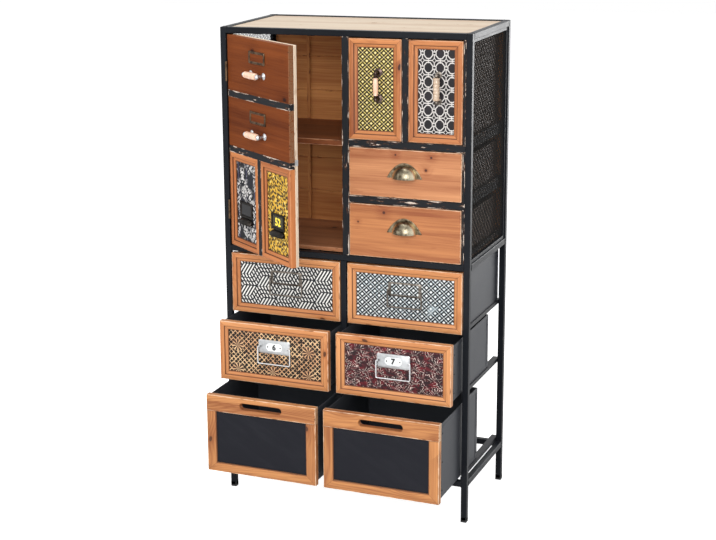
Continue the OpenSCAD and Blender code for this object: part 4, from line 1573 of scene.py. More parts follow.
@dataclass
class Plate:
    """The plate of a bail pull, with two ears, standing on y = 0.

    A plate with figures carries them on a label; one without is a frame round a window
    that shows what lies behind.
    """

    width: float
    height: float
    metal: Finish
    text: str
    thick: float = 2 * MM
    ear: float = 3.2 * MM
    reach: float = 5 * MM

    def shells(self) -> list[Shell]:
        """Body with scalloped ends, the label or the window, the ears and two screws.

        The body's outline is a rounded rectangle whose ends swell by a cosine.
        """
        out = rounded(self.width - 3 * MM, self.height, self.height / 4, 10)
        ends = np.abs(out[:, 0]) > self.width * 0.3
        wave = 1 + 0.035 * np.cos(out[:, 1] / self.height * 4 * math.pi) * ends
        out = out * np.stack([wave, 1 + 0 * wave], -1)
        near = out * (1 - 1.6 * MM / self.height)
        t = self.thick
        shells = self.solid(out, near) if self.text else [self.open(out, near)]
        for s in (-1, 1):
            x = s * (self.width / 2 - 6 * MM)
            r, e = self.ear, 2 * MM
            bead = turned(np.array([0, 0.8, 1, 1.05, 1, 0.8, 0]) * r,
                          np.array([-e, -e, -0.8 * e, 0, 0.8 * e, e, e]), self.metal, 20)
            shells.append(bead.moved(shift(x, -self.reach, 0) @ turn(1, 90.0)))
            neck = rounded(2 * e, 2 * r, 1 * MM, 3)
            arm = lofted([neck, neck], [0, -self.reach + 0.5 * MM], self.metal)
            shells.append(arm.moved(shift(x, 0, 0)))
        heads = [(s * self.width * 0.44, -t, s * self.height * 0.3) for s in (-1, 1)]
        return shells + Screws(1.6 * MM, 0.7 * MM, self.metal).heads(heads)

    def solid(self, out: Array, near: Array) -> list[Shell]:
        """A full body, then the label, its figures and two dots on it.

        Args:
            out: outline of the body.
            near: outline of its face.

        Returns:
            The shells.
        """
        t = self.thick
        w, h = self.width * 0.48, self.height * 0.56
        body = lofted([out, out, near], [0, -t * 0.6, -t], self.metal)
        label = rounded(w, h, h / 2 - 0.1 * MM, 12)
        shells = [body, lofted([label, label], [-t, -t - 0.4 * MM], CARD)]
        shells.append(numeral(self.text, h * 0.98, INK, 0.9 * MM).moved(shift(0, -t - 0.45 * MM, 0)))
        dot = turned(np.array([0, 1, 1, 0]) * 2.0 * MM, np.array([0, 0, 0.6, 0.6]) * MM, INK, 12)
        return shells + [dot.moved(shift(s * w * 0.39, -t, 0) @ turn(0, 90.0)) for s in (-1, 1)]

    def open(self, out: Array, near: Array) -> Shell:
        """A frame whose window is narrower at its face.

        Args:
            out: outline of the body.
            near: outline of its face.

        Returns:
            The frame.
        """
        t = self.thick
        w, h = self.width * 0.78, self.height * 0.76
        count = len(out) // 4
        rings = [out, out, near, rounded(w + 1.6 * MM, h + 1.6 * MM, 4 * MM, count),
                 rounded(w, h, 3.4 * MM, count), rounded(w, h, 3.4 * MM, count)]
        return lofted(rings, [0, -t * 0.6, -t, -t - 0.6 * MM, -t, 0], self.metal, True)


@dataclass
class Bail:
    """A hanging bail: two pins, two legs and the bar below, with rounded corners."""

    leg_x: float
    pin_x: float
    length: float
    radius: float
    metal: Finish
    bend: float = 3.2 * MM

    def shell(self) -> Shell:
        """A round bar along pins, legs and bar; each corner is a quarter circle."""
        bend = self.bend
        quarter = np.linspace(0, math.pi / 2, 7)
        upper = np.stack([self.leg_x - bend + bend * np.sin(quarter),
                          -bend * (1 - np.cos(quarter)) + 0 * quarter], -1)
        lower = np.stack([self.leg_x - bend + bend * np.cos(quarter),
                          -self.length + bend - bend * np.sin(quarter)], -1)
        half = np.concatenate([[[self.pin_x, 0.0]], upper, lower])
        both = np.concatenate([half, (half * [-1, 1])[::-1]])
        path = np.stack([both[:, 0], 0 * both[:, 0], both[:, 1]], -1)
        return tube(path, self.radius, np.array([0.0, 1.0, 0.0]), self.metal, 14)


@dataclass
class LabelHolder:
    """A flat frame with a card behind its window, standing on y = 0."""

    width: float
    height: float
    thick: float
    metal: Finish
    card: Finish
    face_steps = ((0, 1.5, 0), (0, 1.5, 0.6), (0.7, 1.2, 1), (4.5, 1, 1), (5.7, 0.8, 0.6),
                  (5.7, 0.8, 0))
    card_steps = ((5.5, 0.8, 0), (5.5, 0.8, 0.3))

    def shells(self) -> list[Shell]:
        """Outline to window: out, up, over a rounded face and down again."""
        w, h, t = self.width, self.height, self.thick
        face = nested(w, h, t, self.face_steps, self.metal, True)
        card = nested(w, h, t, self.card_steps, self.card)
        spots = [(s * (w / 2 - 2.8 * MM), -t, 0) for s in (-1, 1)]
        return [face, card] + Screws(1.5 * MM, 0.6 * MM, self.metal).heads(spots)


@dataclass
class CardPull:
    """A window plate over a hood that is open underneath, standing on y = 0."""

    width: float
    height: float
    hood: float
    metal: Finish
    card: Finish
    text: str
    plate_steps = ((0, 2, 0), (0, 2, 2.4), (0.8, 1.6, 3.6), (5, 1, 3.6), (6, 0.8, 1.2))
    card_steps = ((6.2, 0.8, 1), (6.2, 0.8, 1.6))

    def shells(self) -> list[Shell]:
        """Plate and card as lofted outlines over a square-shouldered cupped hood."""
        w, h, r = self.width + 3 * MM, self.height, self.hood
        up = shift(0, 0, h / 2)
        plate = nested(w, h, MM, self.plate_steps, self.metal).moved(up)
        card = nested(w, h, MM, self.card_steps, self.card).moved(up)
        hood = cupped((w / 2, r, r), 1.5 * MM, 0.35, (33, 11), self.metal)
        spots = [(s * (w / 2 - 4 * MM), -3.6 * MM, h - 5 * MM) for s in (-1, 1)]
        shells = [plate, card, hood.moved(shift(0, 0, -r))]
        if self.text:
            figures = numeral(self.text, h * 0.66, GOLD_INK, 0.7 * MM)
            shells.append(figures.moved(shift(0, -1.7 * MM, 0) @ up))
        return shells + Screws(1.5 * MM, 0.6 * MM, self.metal).heads(spots)


# Wood and sheet work


@dataclass(frozen=True)
class Moulding:
    """Section of a front's frame, as shares of its width and depths from its face."""

    shares: tuple[float, ...]
    depths: tuple[float, ...]


FRAME_WIDTH = 22 * MM
MEMBER_STEPS = 7
SEAM = 0.1 * MM
STEPPED = Moulding((0.0, 0.0, 0.03, 0.07, 0.52, 0.55, 0.565, 0.6, 0.9, 0.95, 1.0, 1.0, 0.77, 0.77),
                   (16.0, 1.2, 0.35, 0.0, 0.0, 0.35, 2.4, 2.9, 4.6, 5.4, 5.6, 7.0, 7.0, 16.0))
PLAIN = Moulding((0.0, 0.0, 0.02, 0.05, 0.93, 0.97, 1.0, 1.0, 0.85, 0.85),
                 (16.0, 1.2, 0.35, 0.0, 0.0, 0.35, 1.2, 3.0, 3.0, 16.0))


def framing(low: Array, high: Array, widths: tuple[float, float, float, float], section: Moulding,
            finish: Finish, seed: float) -> list[Shell]:
    """Four mitred members round an opening, in the plane of X and Z.

    A member's section point at share f and depth d runs from corner to corner of the
    rectangle that lies f of each width inside the outer one, at depth d behind the face.

    Args:
        low: lowest corner of the frame.
        high: highest corner.
        widths: of the left, right, lower and upper member; an upper width of 0 leaves
            that member out and squares the tops of the side members.
        section: the moulding's section.
        finish: its finish.
        seed: number of its grain.

    Returns:
        The members.
    """
    left, right, lower, upper = widths
    f = np.array(section.shares)
    depth = np.minimum(np.array(section.depths) * MM, high[1] - low[1])
    x0, x1 = low[0] + f * left, high[0] - f * right
    z0, z1 = low[2] + f * lower, high[2] - f * upper
    y = low[1] + depth
    runs = [(x0, z0, x0, z1, left, 2), (x1, z0, x1, z1, right, 2), (x0, z0, x1, z0, lower, 0)]
    if upper:
        runs.append((x0, z1, x1, z1, upper, 0))
    shells = []
    for k, (ax, az, bx, bz, width, axis) in enumerate(runs):
        ends = np.stack([np.stack([ax, y, az], -1), np.stack([bx, y, bz], -1)])
        t = np.linspace(0, 1, MEMBER_STEPS)[:, None, None]
        points = ends[0] * (1 - t) + ends[1] * t
        length = (high - low)[axis]
        along = np.broadcast_to((t[..., 0] - 0.5) * length, points.shape[:2])
        across = np.broadcast_to((f - 0.5) * width, along.shape)
        deep = np.broadcast_to(depth - depth.max() / 2, along.shape)
        shells.append(grid(points, False, True, finish, seed + 2.3 * k, True,
                           np.stack([along, across, deep], -1),
                           (length / 2, width / 2, depth.max() / 2)))
    return shells


def slotted(low: Array, high: Array, slot: Triple, finish: Finish,
            seed: float) -> Shell:
    """A level board with a long round-ended slot through it.

    Args:
        low: lowest corner of the board.
        high: highest corner.
        slot: length and height of the slot, and the rounding of its edges.
        finish: its finish.
        seed: number of its grain.

    Returns:
        The board: outlines from its back round its edge, across its face to the slot
        and back through the slot. Each outline's points lie at the same share of it.
    """
    middle, size = (low + high) / 2, high - low
    hole = rounded(slot[0], slot[1], slot[1] / 2 - 0.01 * MM, 12)
    wide = rounded(slot[0] + 2 * slot[2], slot[1] + 2 * slot[2],
                   slot[1] / 2 + slot[2] - 0.01 * MM, 12)
    reach_x, reach_z = size[0] / 2, size[2] / 2
    scale = np.minimum(reach_x / np.maximum(np.abs(hole[:, 0]), 1e-9),
                       reach_z / np.maximum(np.abs(hole[:, 1]), 1e-9))
    out = hole * scale[:, None]
    for sx in (-1, 1):
        for sz in (-1, 1):
            corner = np.array([sx * reach_x, sz * reach_z])
            out[np.argmin(np.linalg.norm(out - corner, axis=1))] = corner
    d = 0.9 * MM
    near = out * (1 - d / np.array([reach_x, reach_z]))
    back, front = size[1] / 2, -size[1] / 2
    depths = [back, front + d, front, front, front + slot[2], back]
    shell = lofted([out, out, near, wide, hole, hole], depths, finish, True, seed)
    local = np.stack([shell.points[:, 0], shell.points[:, 2], shell.points[:, 1]], -1)
    board = Shell(shell.points, shell.faces, local, (reach_x, reach_z, back), seed, finish)
    return board.moved(shift(*middle))


@dataclass
class SheetTrim:
    """Hems, corner flanges and fixings that dress a folded sheet steel box."""

    low: Array
    high: Array
    sheet: float = 1.5 * MM
    hem: float = 9 * MM
    flange: float = 12 * MM
    raised: float = 0.4 * MM
    rivets: int = 3

    def shells(self) -> list[Shell]:
        """A hem rolled round the rim, a flange up each corner, and rivets in it.

        The hem's section is a small round-topped bar carried round the rim's outline.
        """
        low, high, s = self.low, self.high, self.sheet
        centre, size = (low + high) / 2, high - low
        out = rounded(size[0] + 0.5 * MM, size[1] + 0.5 * MM, 2 * MM, 4)
        mid = rounded(size[0] - s, size[1] - s, 1.2 * MM, 4)
        inner = rounded(size[0] - 2.6 * s, size[1] - 2.6 * s, 0.8 * MM, 4)
        top = size[2] / 2
        rings = [(inner, top - self.hem), (out, top - self.hem), (out, top - self.raised),
                 (mid, top + 0.5 * MM), (inner, top - self.raised)]
        points = np.stack([np.column_stack([o, np.full(len(o), z)]) for o, z in rings])
        shells = [grid(points, True, True, SHEET).moved(shift(*centre))]
        for side in (-1, 1):
            x = centre[0] + side * (size[0] / 2 + 0.35 * MM)
            for y in (high[1] - 16 * MM, low[1] + 4 * MM):
                a = (x - self.raised, y, low[2] + 4 * MM)
                b = (x + self.raised, y + self.flange, high[2] - 10 * MM)
                shells.append(block(a, b, 2, 0.0, SHEET))
                spots = [(x + side * self.raised, y + self.flange / 2, z) for z in
                         np.linspace(low[2] + 18 * MM, high[2] - 24 * MM, self.rivets)]
                shells += Screws(2.4 * MM, 1.0 * MM, CAD_STEEL).heads(spots, turn(2, 90.0 * side))
        return shells


# Sub-assemblies


@dataclass
class SteelFrame:
    """Posts, rails, stiles, runners and feet, on the body that stands still."""

    round_edge: float = 1.6 * MM
    weld: float = 1.4 * MM

    def build(self) -> None:
        """Rounded tubes with a bead of weld at each rail's ends."""
        for name, node in (("steel_posts", "posts"), ("steel_rails", "frame_rails"),
                           ("steel_stiles", "lower_stiles")):
            boards(name, node, "frame", STEEL, "frame_paint", bevel=self.round_edge)
        boards("post_feet", "foot_caps", "frame", RUBBER, "foot_plastic", along=2, bevel=1.0 * MM)
        repaint(CAD_STEEL, "drawer_runners", "support_lugs")
        self.beads()

    def beads(self) -> None:
        """A bead round each rail's end: a thin ring of the tube's outline."""
        piece = Piece("weld_beads", "frame", "frame_paint")
        for low, high in islands("frame_rails"):
            axis = int(np.argmax(high - low))
            middle, size = (low + high) / 2, high - low
            a, b = [i for i in range(3) if i != axis]
            outline = rounded(size[a] + 0.2 * MM, size[b] + 0.2 * MM, 2.2 * MM, 4)
            for end in (low[axis] + 0.4 * MM, high[axis] - 0.4 * MM):
                path = np.zeros((len(outline), 3))
                path[:, a] = middle[a] + outline[:, 0]
                path[:, b] = middle[b] + outline[:, 1]
                path[:, axis] = end
                normal = np.eye(3)[axis]
                piece.add(tube(path, self.weld / 2, normal, CAD_STEEL, 6, ring=True))
        piece.build()


@dataclass
class WireSide:
    """One side's bar frame with woven wire in it."""

    side: str
    pitch: float = 6.5 * MM
    wire: float = 1.3 * MM
    bar: float = 8 * MM

    def build(self) -> None:
        """Four bars round the opening, then the wire."""
        node = f"mesh_{self.side}"
        low, high = corners(node)
        bar = self.bar
        piece = Piece(f"wire_{self.side}", "frame", "mesh_paint")
        x0, x1 = low[0], high[0]
        bars = [((x0, low[1], low[2]), (x1, low[1] + bar, high[2]), 2),
                ((x0, high[1] - bar, low[2]), (x1, high[1], high[2]), 2),
                ((x0, low[1] + bar, low[2]), (x1, high[1] - bar, low[2] + bar), 1),
                ((x0, low[1] + bar, high[2] - bar), (x1, high[1] - bar, high[2]), 1)]
        for k, (a, b, axis) in enumerate(bars):
            piece.add(block(a, b, axis, k + 0.5, STEEL))
        piece.build(node, bevel=0.8 * MM)
        self.net(low, high)

    def net(self, low: Array, high: Array) -> None:
        """Two families of wires at 45 degrees that weave over and under each other.

        A wire's height over the middle plane is the wire's radius times a cosine that
        changes sign at each crossing, alternating from wire to wire.

        Args:
            low: lowest corner of the bars.
            high: highest corner.
        """
        net = Piece(f"net_{self.side}", "frame", "mesh_paint")
        middle, inset = (low[0] + high[0]) / 2, self.bar / 2
        y0, y1, z0, z1 = low[1] + inset, high[1] - inset, low[2] + inset, high[2] - inset
        step = self.pitch * math.sqrt(2)
        for way in (1, -1):
            starts = np.arange(-(z1 - z0), y1 - y0, step) + step / 2
            for k, start in enumerate(starts):
                lo, hi = max(0.0, -start), min(z1 - z0, (y1 - y0) - start)
                if hi - lo < step:
                    continue
                count = int(round((hi - lo) / (step / 2)))
                s = np.linspace(lo, hi, max(count, 2) + 1)
                y = y0 + start + s if way > 0 else y1 - start - s
                lift = self.wire * 0.5 * np.cos(math.pi * (s / (step / 2))) * way * (-1) ** k
                path = np.stack([middle + lift, y, z0 + s], -1)
                net.add(tube(path, self.wire / 2, np.array([1.0, 0.0, 0.0]), WIRE, 4))
        net.build(smooth=60.0)


@dataclass
class Carcass:
    """The wooden upper part: top, deck, divider, shelves, strips, back and shelf.

    A face strip under the narrow width has a level guide behind it, at its foot. Where a
    strip starts under the middle level, it covers the deck's edge, and its guide stands
    on the deck.
    """

    narrow: float = 10 * MM
    strip_depth: float = 14 * MM
    guide: float = 12 * MM
    deck: float = 10 * MM
    middle_level: float = 0.7
    joint: float = 0.15 * MM

    def build(self) -> None:
        """Boards in the boxes of the CAD solids."""
        boards("divider_board", "divider_panel", "frame", BLACK_WOOD, "black_wood", along=2)
        boards("shelf_boards", "drawer_shelves", "frame", BLACK_WOOD, "black_wood", along=0)
        self.strips()
        boards("deck_board", "deck_panel", "frame", DECK_WOOD, "red_wood", along=0)
        # the shelf's darker pine is painted shade
        boards("cupboard_board", "cupboard_shelf", "frame", SHADED_SHELF_WOOD, "red_wood", along=0)
        self.back()
        self.top()

    def strips(self) -> None:
        """Upright strips, one board each, and a level guide behind each narrow one."""
        piece = Piece("face_uprights", "frame", "black_wood")
        for k, (low, high) in enumerate(islands("face_strips")):
            if high[0] - low[0] > self.narrow:
                piece.add(block(low, high, 2, k + 0.3, BLACK_WOOD))
                continue
            deep = low[1] + self.strip_depth
            base = low[2] if low[2] > self.middle_level else low[2] + self.deck
            piece.add(block(low, (high[0], deep, high[2]), 2, k + 0.3, BLACK_WOOD))
            piece.add(block((low[0], deep + SEAM, base), (high[0], high[1], base + self.guide),
                            1, k + 0.9, BLACK_WOOD))
        piece.build("face_strips", bevel=0.8 * MM)

    def back(self) -> None:
        """The back's boards and batten, and a tongue in each joint of two boards."""
        piece, tongue = Piece("back_planks", "frame", "red_wood"), 2 * MM
        solids = islands("back_boards")
        for k, (low, high) in enumerate(solids):
            piece.add(block(low, high, int(np.argmax(high - low)), k * 1.37 + 11, BACK_WOOD))
        level = sorted((s for s in solids if np.argmax(s[1] - s[0]) == 0), key=lambda s: s[0][2])
        for (low, high), (above, _) in zip(level, level[1:]):
            middle = (low[1] + high[1]) / 2
            start = (low[0] + tongue, middle - tongue, high[2] - 2 * tongue)
            end = (high[0] - tongue, middle + tongue, above[2] + 2 * tongue)
            piece.add(block(start, end, 0, 2.3, BACK_WOOD))
        piece.build("back_boards", bevel=1.6 * MM)

    def top(self) -> None:
        """The top panel as three planks side by side."""
        low, high = corners("top_panel")
        piece = Piece("top_planks", "frame", "pale_wood")
        cuts = np.linspace(low[1], high[1], 4)
        for k in range(3):
            a, b = low.copy(), high.copy()
            a[1], b[1] = cuts[k] + self.joint * (k > 0), cuts[k + 1] - self.joint * (k < 2)
            piece.add(block(a, b, 0, 4.1 * k, PALE_WOOD))
        piece.build("top_panel", bevel=1.0 * MM)


@dataclass
class Door:
    """The door of false drawer fronts, built closed and turned to where it stands."""

    place: Array
    grip: float = 8.8 * MM
    post: float = 4.2 * MM

    def piece(self, name: str, slot: str) -> Piece:
        """A new piece of the door, to be built as if the door were closed."""
        return Piece(f"door_{name}", "door", slot, self.place)

    def solids(self, node: str) -> list[Box]:
        """Boxes of a door node's solids with the door closed."""
        return islands(f"door_{node}", np.linalg.inv(self.place))

    def build(self) -> None:
        """Backing panel, boards, strips, frames, patterned panels and hardware."""
        boards("door_back", "door_slab", "door", PALE_WOOD, "pale_wood", 2, 1.0 * MM, self.place)
        boards("door_fronts", "door_boards", "door", DOOR_WOOD, "red_wood", 0, 1.2 * MM, self.place)
        self.strips()
        frames = self.piece("small_frames", "red_wood")
        for k, (low, high) in enumerate(self.solids("frames")):
            frames.add(*framing(low, high, (FRAME_WIDTH,) * 4, STEPPED, DOOR_FRAME_WOOD, 5.0 + 9 * k))
        frames.build("door_frames")
        panels = self.piece("small_panels", "patterned_panel")
        sides = sorted(self.solids("panels"), key=lambda b: b[0][0])
        for (low, high), name in zip(sides, ("door_left", "door_right")):
            panels.add(block(low, high, 0, 0.0, PATTERNS[name]))
        panels.build("door_panels", bevel=0.3 * MM)
        self.hardware()

    def strips(self) -> None:
        """The two level strips and the upright one, as boards of their own."""
        (low, high), (low2, high2) = sorted(self.solids("strips"), key=lambda b: b[0][2])
        piece = self.piece("black_strips", "black_wood")
        wide = high2[2] - low2[2]
        piece.add(block(low2, high2, 0, 1.1, BLACK_WOOD))
        piece.add(block((low[0], low[1], high[2] - wide), high, 0, 2.7, BLACK_WOOD))
        middle = (low[0] + high[0]) / 2
        piece.add(block((middle - wide / 2, low[1], low[2]),
                        (middle + wide / 2, high[1], high[2] - wide - SEAM), 2, 3.9, BLACK_WOOD))
        piece.build("door_strips", bevel=0.8 * MM)

    def hardware(self) -> None:
        """Spindle pulls, label holders, card pulls, and paint for hinges and catch."""
        posts = self.piece("pull_mounts", "bright_steel")
        grips = self.piece("pull_barrels", "glazed_grip")
        for low, high in self.solids("pull_grips"):
            centre = (low + high) / 2
            pull = SpindlePull(self.grip, self.post, STEEL_BRIGHT, PEACH, rose=2.0)
            at = shift(centre[0], centre[1] + pull.reach, centre[2])
            posts.add(*pull.posts(), at=at)
            grips.add(pull.handle(), at=at)
        posts.build("door_pull_posts")
        grips.build("door_pull_grips")
        self.labels()
        repaint(BRONZE, "hinge_post_leaves", "door_hinge_leaves")
        repaint(STEEL_BRIGHT, "door_catch", "door_strike")

    def labels(self) -> None:
        """The label holders on the boards, and the card pulls on the small panels."""
        holders = self.piece("holders", "dark_bronze")
        for low, high in self.solids("label_holders"):
            wide, thick, tall = high - low
            holder = LabelHolder(wide, tall, thick, BRONZE, DOOR_WOOD)
            holders.add(*holder.shells(), at=seat(low, high))
        holders.build("door_label_holders")
        cards = self.piece("cards", "black_pull")
        pulls = sorted(self.solids("card_pulls"), key=lambda b: b[0][0])
        for (low, high), card, text in zip(pulls, (INK, DARK_CARD), ("", "52")):
            hood = high[1] - low[1]
            pull = CardPull(high[0] - low[0], high[2] - low[2] - hood, hood, BLACK_METAL, card, text)
            at = shift((low[0] + high[0]) / 2, high[1], low[2] + hood)
            cards.add(*pull.shells(), at=at)
        cards.build("door_card_pulls")


@dataclass
class Drawer:
    """What every drawer has: a name, the seed of its grain and a body of its own."""

    key: str
    seed: float

    def box(self, part: str) -> Box:
        """Corners of one of the drawer's CAD nodes."""
        return corners(f"{self.key}_{part}")

    def piece(self, part: str, slot: str, body: str = "drawer") -> Piece:
        """A new piece of the drawer, on one of its bodies."""
        return Piece(f"{self.key}_{part}", f"{self.key}_{body}", slot)

    def front(self) -> list[Box]:
        """Boxes of the front's two solids: the frame, then the panel in it."""
        return sorted(islands(f"{self.key}_front"), key=lambda b: -(b[1] - b[0])[0])

    def framed(self, finish: Finish, slot: str) -> None:
        """Builds a mitred front and the patterned panel in it.

        Args:
            finish: of the frame.
            slot: the record's material slot.
        """
        frame, inner = self.front()
        members = framing(*frame, (FRAME_WIDTH,) * 4, STEPPED, finish, self.seed)
        self.piece("face", slot).add(*members).build(f"{self.key}_front")
        sheet = self.piece("panel", slot).add(block(*inner, 0, 0.0, PATTERNS[self.key]))
        sheet.build(bevel=0.3 * MM)


@dataclass
class WoodenDrawer(Drawer):
    """A drawer whose box is five boards; its front and back are lower than its sides."""

    side: float = 9 * MM
    bottom: float = 4 * MM
    lower: float = 4 * MM

    def case(self) -> None:
        """Builds the box: two sides, front, back and bottom."""
        (x0, y0, z0), (x1, y1, z1) = self.box("box")
        side = self.side
        xa, xb, top = x0 + side + SEAM, x1 - side - SEAM, z1 - self.lower
        planks = [((x0, y0, z0), (x0 + side, y1, z1), 1), ((x1 - side, y0, z0), (x1, y1, z1), 1),
                  ((xa, y0, z0), (xb, y0 + side, top), 0), ((xa, y1 - side, z0), (xb, y1, top), 0),
                  ((xa, y0 + side + SEAM, z0), (xb, y1 - side - SEAM, z0 + self.bottom), 0)]
        case = self.piece("case", "drawer_wood")
        for k, (low, high, axis) in enumerate(planks):
            case.add(block(low, high, axis, self.seed + 1.7 * k, BOX_WOOD))
        case.build(f"{self.key}_box", bevel=0.7 * MM)


@dataclass
class CupDrawer(WoodenDrawer):
    """A wide wooden drawer with a board front and a cup pull."""

    def build(self) -> None:
        """Box, front and pull."""
        self.case()
        board = block(*self.box("front"), 0, self.seed, CUP_WOODS[self.key])
        self.piece("face", "red_wood").add(board).build(f"{self.key}_front", bevel=1.4 * MM)
        low, high = self.box("pull")
        wide, deep, tall = high - low
        cup = self.piece("cup", "cup_metal")
        cup.add(*CupPull(wide, tall, deep).shells(), at=seat(low, high))
        cup.build(f"{self.key}_pull", smooth=50.0)


@dataclass(kw_only=True)
class TallDrawer(WoodenDrawer):
    """A tall wooden drawer with a patterned front and an upright spindle pull."""

    pull: SpindlePull
    slot: str

    def build(self) -> None:
        """Box, front and pull."""
        self.case()
        self.framed(RED_WOOD, "red_wood")
        at = seat(*self.box("pull")) @ turn(1, 90.0)
        spindle = self.piece("spindle", self.slot)
        spindle.add(*self.pull.posts(), self.pull.handle(), at=at).build(f"{self.key}_pull")


@dataclass
class SteelDrawer(Drawer):
    """A drawer whose box is folded sheet steel."""

    def case(self) -> None:
        """Powder coats the box and builds its trim."""
        repaint(SHEET, f"{self.key}_box")
        self.piece("hems", "sheet_paint").add(*SheetTrim(*self.box("box")).shells()).build()


@dataclass
class PatternDrawer(SteelDrawer):
    """A sheet steel drawer with a patterned front, a plate and a hanging bail."""

    metal: Finish
    text: str
    pin_inset: float = 7.6 * MM

    def build(self) -> None:
        """Box trim and front, the plate, and the bail on its own body."""
        self.case()
        self.framed(PINE, "pine")
        slot = "bright_steel" if self.text else "dark_bronze"
        low, high = self.box("plate")
        wide, _, tall = high - low
        middle = (low[0] + high[0]) / 2
        plate = Plate(wide, tall, self.metal, self.text)
        piece = self.piece("escutcheon", slot).add(*plate.shells(), at=seat(low, high))
        piece.build(f"{self.key}_plate")
        low, high = self.box("bail")
        radius = (high[1] - low[1]) / 2
        bail = Bail((high[0] - low[0]) / 2 - radius, wide / 2 - self.pin_inset,
                    high[2] - low[2] - 2 * radius, radius,
                    WHITE_STEEL if self.text else self.metal)
        at = shift(middle, (low[1] + high[1]) / 2, high[2] - radius)
        self.piece("swing", slot, "handle").add(bail.shell(), at=at).build(f"{self.key}_bail")


@dataclass
class Bin(SteelDrawer):
    """An open sheet steel bin whose front holds a chalkboard and a hand slot."""

    side: float = 26 * MM
    foot: float = 24 * MM
    head: float = 42 * MM
    slot: Triple = (112 * MM, 17 * MM, 1.6 * MM)

    def build(self) -> None:
        """Box trim and front: three mitred members, a slotted head board, the board."""
        self.case()
        (low, high), inner = self.front()
        top = np.array([high[0], high[1], high[2] - self.head - SEAM])
        start = np.array([low[0], low[1], high[2] - self.head])
        face = self.piece("face", "pine")
        widths = (self.side, self.side, self.foot, 0.0)
        face.add(*framing(low, top, widths, PLAIN, BIN_PINE, self.seed))
        face.add(slotted(start, high, self.slot, HEAD_PINE, self.seed + 8.0))
        face.build(f"{self.key}_front")
        self.piece("board", "pine").add(block(*inner, 0, self.seed, BOARD)).build(bevel=0.4 * MM)


# Stage


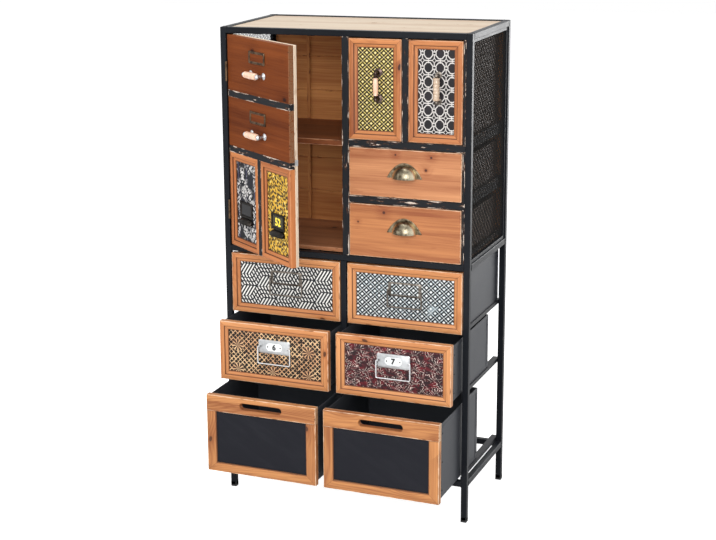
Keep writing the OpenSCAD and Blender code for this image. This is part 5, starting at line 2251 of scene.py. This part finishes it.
@dataclass
class Stage:
    """Floor, lights and the camera that stands where the photograph was taken.

    Width, height, centre and focal length are in pixels; the angles are in radians.
    """

    width: int = 716
    height: int = 540
    focal: float = 1613.02
    centre: tuple[float, float] = (238.0, 256.0)
    eye: Triple = (1.40841, -3.71773, 1.6217)
    yaw: float = -0.44394
    pitch: float = -0.24758
    roll: float = -0.02276

    def build(self) -> None:
        """Makes the stage."""
        self.camera()
        self.floor()
        self.world()
        chest = (0.0, -0.1, 0.65)
        lamps = [("key", (0.9, -3.8, 2.3), chest, 2.4, 150.0),
                 ("fill", (-3.2, -2.6, 2.0), chest, 2.6, 40.0),
                 ("top", (0.2, 0.2, 4.0), chest, 3.0, 70.0),
                 ("side", (2.7, 4.6, 0.9), chest, 2.2, 150.0)]
        for name, spot, aim, size, power in lamps:
            self.lamp(name, spot, aim, size, power)

    def camera(self) -> None:
        """The camera, from its measured place, angles and focal length in pixels."""
        ahead = np.array([math.sin(self.yaw) * math.cos(self.pitch),
                          math.cos(self.yaw) * math.cos(self.pitch), math.sin(self.pitch)])
        right = np.array([math.cos(self.yaw), -math.sin(self.yaw), 0.0])
        up = np.cross(right, ahead)
        c, s = math.cos(self.roll), math.sin(self.roll)
        lens = bpy.data.cameras.new("camera")
        lens.sensor_fit, lens.sensor_width = "HORIZONTAL", 36.0
        lens.lens = self.focal * 36.0 / self.width
        lens.shift_x = (self.width / 2 - self.centre[0]) / self.width
        lens.shift_y = (self.centre[1] - self.height / 2) / self.width
        lens.clip_end = 50.0
        camera = linked("camera", lens)
        camera.matrix_world = self.posed(right * c + up * s, up * c - right * s, -ahead, self.eye)
        bpy.context.scene.camera = camera

    def floor(self) -> None:
        """A pale floor that shows white to the camera and keeps the soft shadow."""
        size = 12.0
        mesh = bpy.data.meshes.new("floor")
        mesh.from_pydata([(-size, -size, 0), (size, -size, 0), (size, size, 0), (-size, size, 0)],
                         [], [(0, 1, 2, 3)])
        floor = linked("floor", mesh)
        graph = Graph("floor_white")
        graph.finish((0.86, 0.86, 0.86), 0.9, Specular_IOR_Level=0.1)
        path = graph.node("ShaderNodeLightPath")
        seen = Field(graph, path.outputs["Is Camera Ray"])
        graph.feed(graph.bsdf.inputs["Emission Strength"], seen * 0.8)
        graph.bsdf.inputs["Emission Color"].default_value = (1, 1, 1, 1)
        mesh.materials.append(graph.material)

    def world(self) -> None:
        """White where the camera and reflections look, a plain level for the light."""
        world = bpy.data.worlds.new("studio")
        world.use_nodes = True
        tree = world.node_tree
        path = tree.nodes.new("ShaderNodeLightPath")
        back = tree.nodes["Background"]
        back.inputs[0].default_value = (1.0, 1.0, 1.0, 1.0)
        seen = path.outputs["Is Camera Ray"]
        for ray in ("Is Glossy Ray", "Is Transmission Ray"):
            either = tree.nodes.new("ShaderNodeMath")
            either.operation = "MAXIMUM"
            tree.links.new(seen, either.inputs[0])
            tree.links.new(path.outputs[ray], either.inputs[1])
            seen = either.outputs[0]
        level = tree.nodes.new("ShaderNodeMapRange")
        level.inputs["To Min"].default_value = 0.3
        level.inputs["To Max"].default_value = 1.0
        tree.links.new(seen, level.inputs["Value"])
        tree.links.new(level.outputs["Result"], back.inputs["Strength"])
        bpy.context.scene.world = world
        bpy.context.scene.view_settings.view_transform = "Standard"

    @staticmethod
    def posed(*columns: Array | Triple) -> list[list[float]]:
        """World matrix of a camera or a lamp, from its own X, Y and Z and its place."""
        return np.vstack([np.stack(columns, -1), [0, 0, 0, 1]]).T.tolist()

    @staticmethod
    def lamp(name: str, spot: Triple, aim: Triple,
             size: float, power: float) -> None:
        """A square soft lamp.

        Args:
            name: of the lamp.
            spot: where it hangs.
            aim: where it looks.
            size: of its side.
            power: in watts.
        """
        light = bpy.data.lights.new(name, "AREA")
        light.size, light.energy = size, power
        lamp = linked(name, light)
        lamp.visible_camera = False
        back = np.array(spot) - np.array(aim)
        back /= np.linalg.norm(back)
        side = np.cross([0, 0, 1], back)
        side /= np.linalg.norm(side)
        lamp.matrix_world = Stage.posed(side, np.cross(back, side), back, spot)


def door_place() -> Array:
    """Where the door stands, from its joint's record.

    Returns:
        The matrix from the closed door to the door at rest: a turn about the hinge's
        line by the joint's least value, taken the other way.
    """
    joint = next(j for j in FRAME["record"]["behaviour"]["joints"] if j["name"] == "door_hinge")
    return turn(2, joint["range_deg"][0], tuple(joint["pos_m"]))


def main() -> None:
    """Builds the stage and every sub-assembly."""
    logging.basicConfig(level=logging.INFO, format="%(message)s")
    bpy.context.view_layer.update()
    Stage().build()
    SteelFrame().build()
    Carcass().build()
    for side in ("left", "right"):
        WireSide(side).build()
    Door(door_place()).build()
    left = SpindlePull(6.5 * MM, 3.5 * MM, ROSE_METAL, PEACH, rose=3.1, bare=5 * MM)
    right = SpindlePull(8.4 * MM, 3.5 * MM, PEWTER, CREAM, beads=True)
    drawers = [TallDrawer("tall_left", 11.0, pull=left, slot="glazed_grip"),
               TallDrawer("tall_right", 18.0, pull=right, slot="cream_grip"),
               CupDrawer("cup_high", 31.0), CupDrawer("cup_low", 38.0),
               PatternDrawer("mid_left", 51.0, PEWTER, ""),
               PatternDrawer("mid_right", 58.0, PEWTER, ""),
               PatternDrawer("number_left", 65.0, STEEL_BRIGHT, "6"),
               PatternDrawer("number_right", 72.0, STEEL_BRIGHT, "7"),
               Bin("bin_left", 81.0), Bin("bin_right", 88.0)]
    for drawer in drawers:
        drawer.build()


with open("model.json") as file:
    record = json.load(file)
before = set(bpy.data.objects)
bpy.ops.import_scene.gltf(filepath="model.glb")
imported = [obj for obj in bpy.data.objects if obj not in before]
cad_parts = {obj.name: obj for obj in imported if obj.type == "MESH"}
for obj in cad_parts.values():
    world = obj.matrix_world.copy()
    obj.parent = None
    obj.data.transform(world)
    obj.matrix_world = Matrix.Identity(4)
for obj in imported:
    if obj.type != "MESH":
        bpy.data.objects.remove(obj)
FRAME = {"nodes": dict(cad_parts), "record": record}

if __name__ == "__main__":
    main()
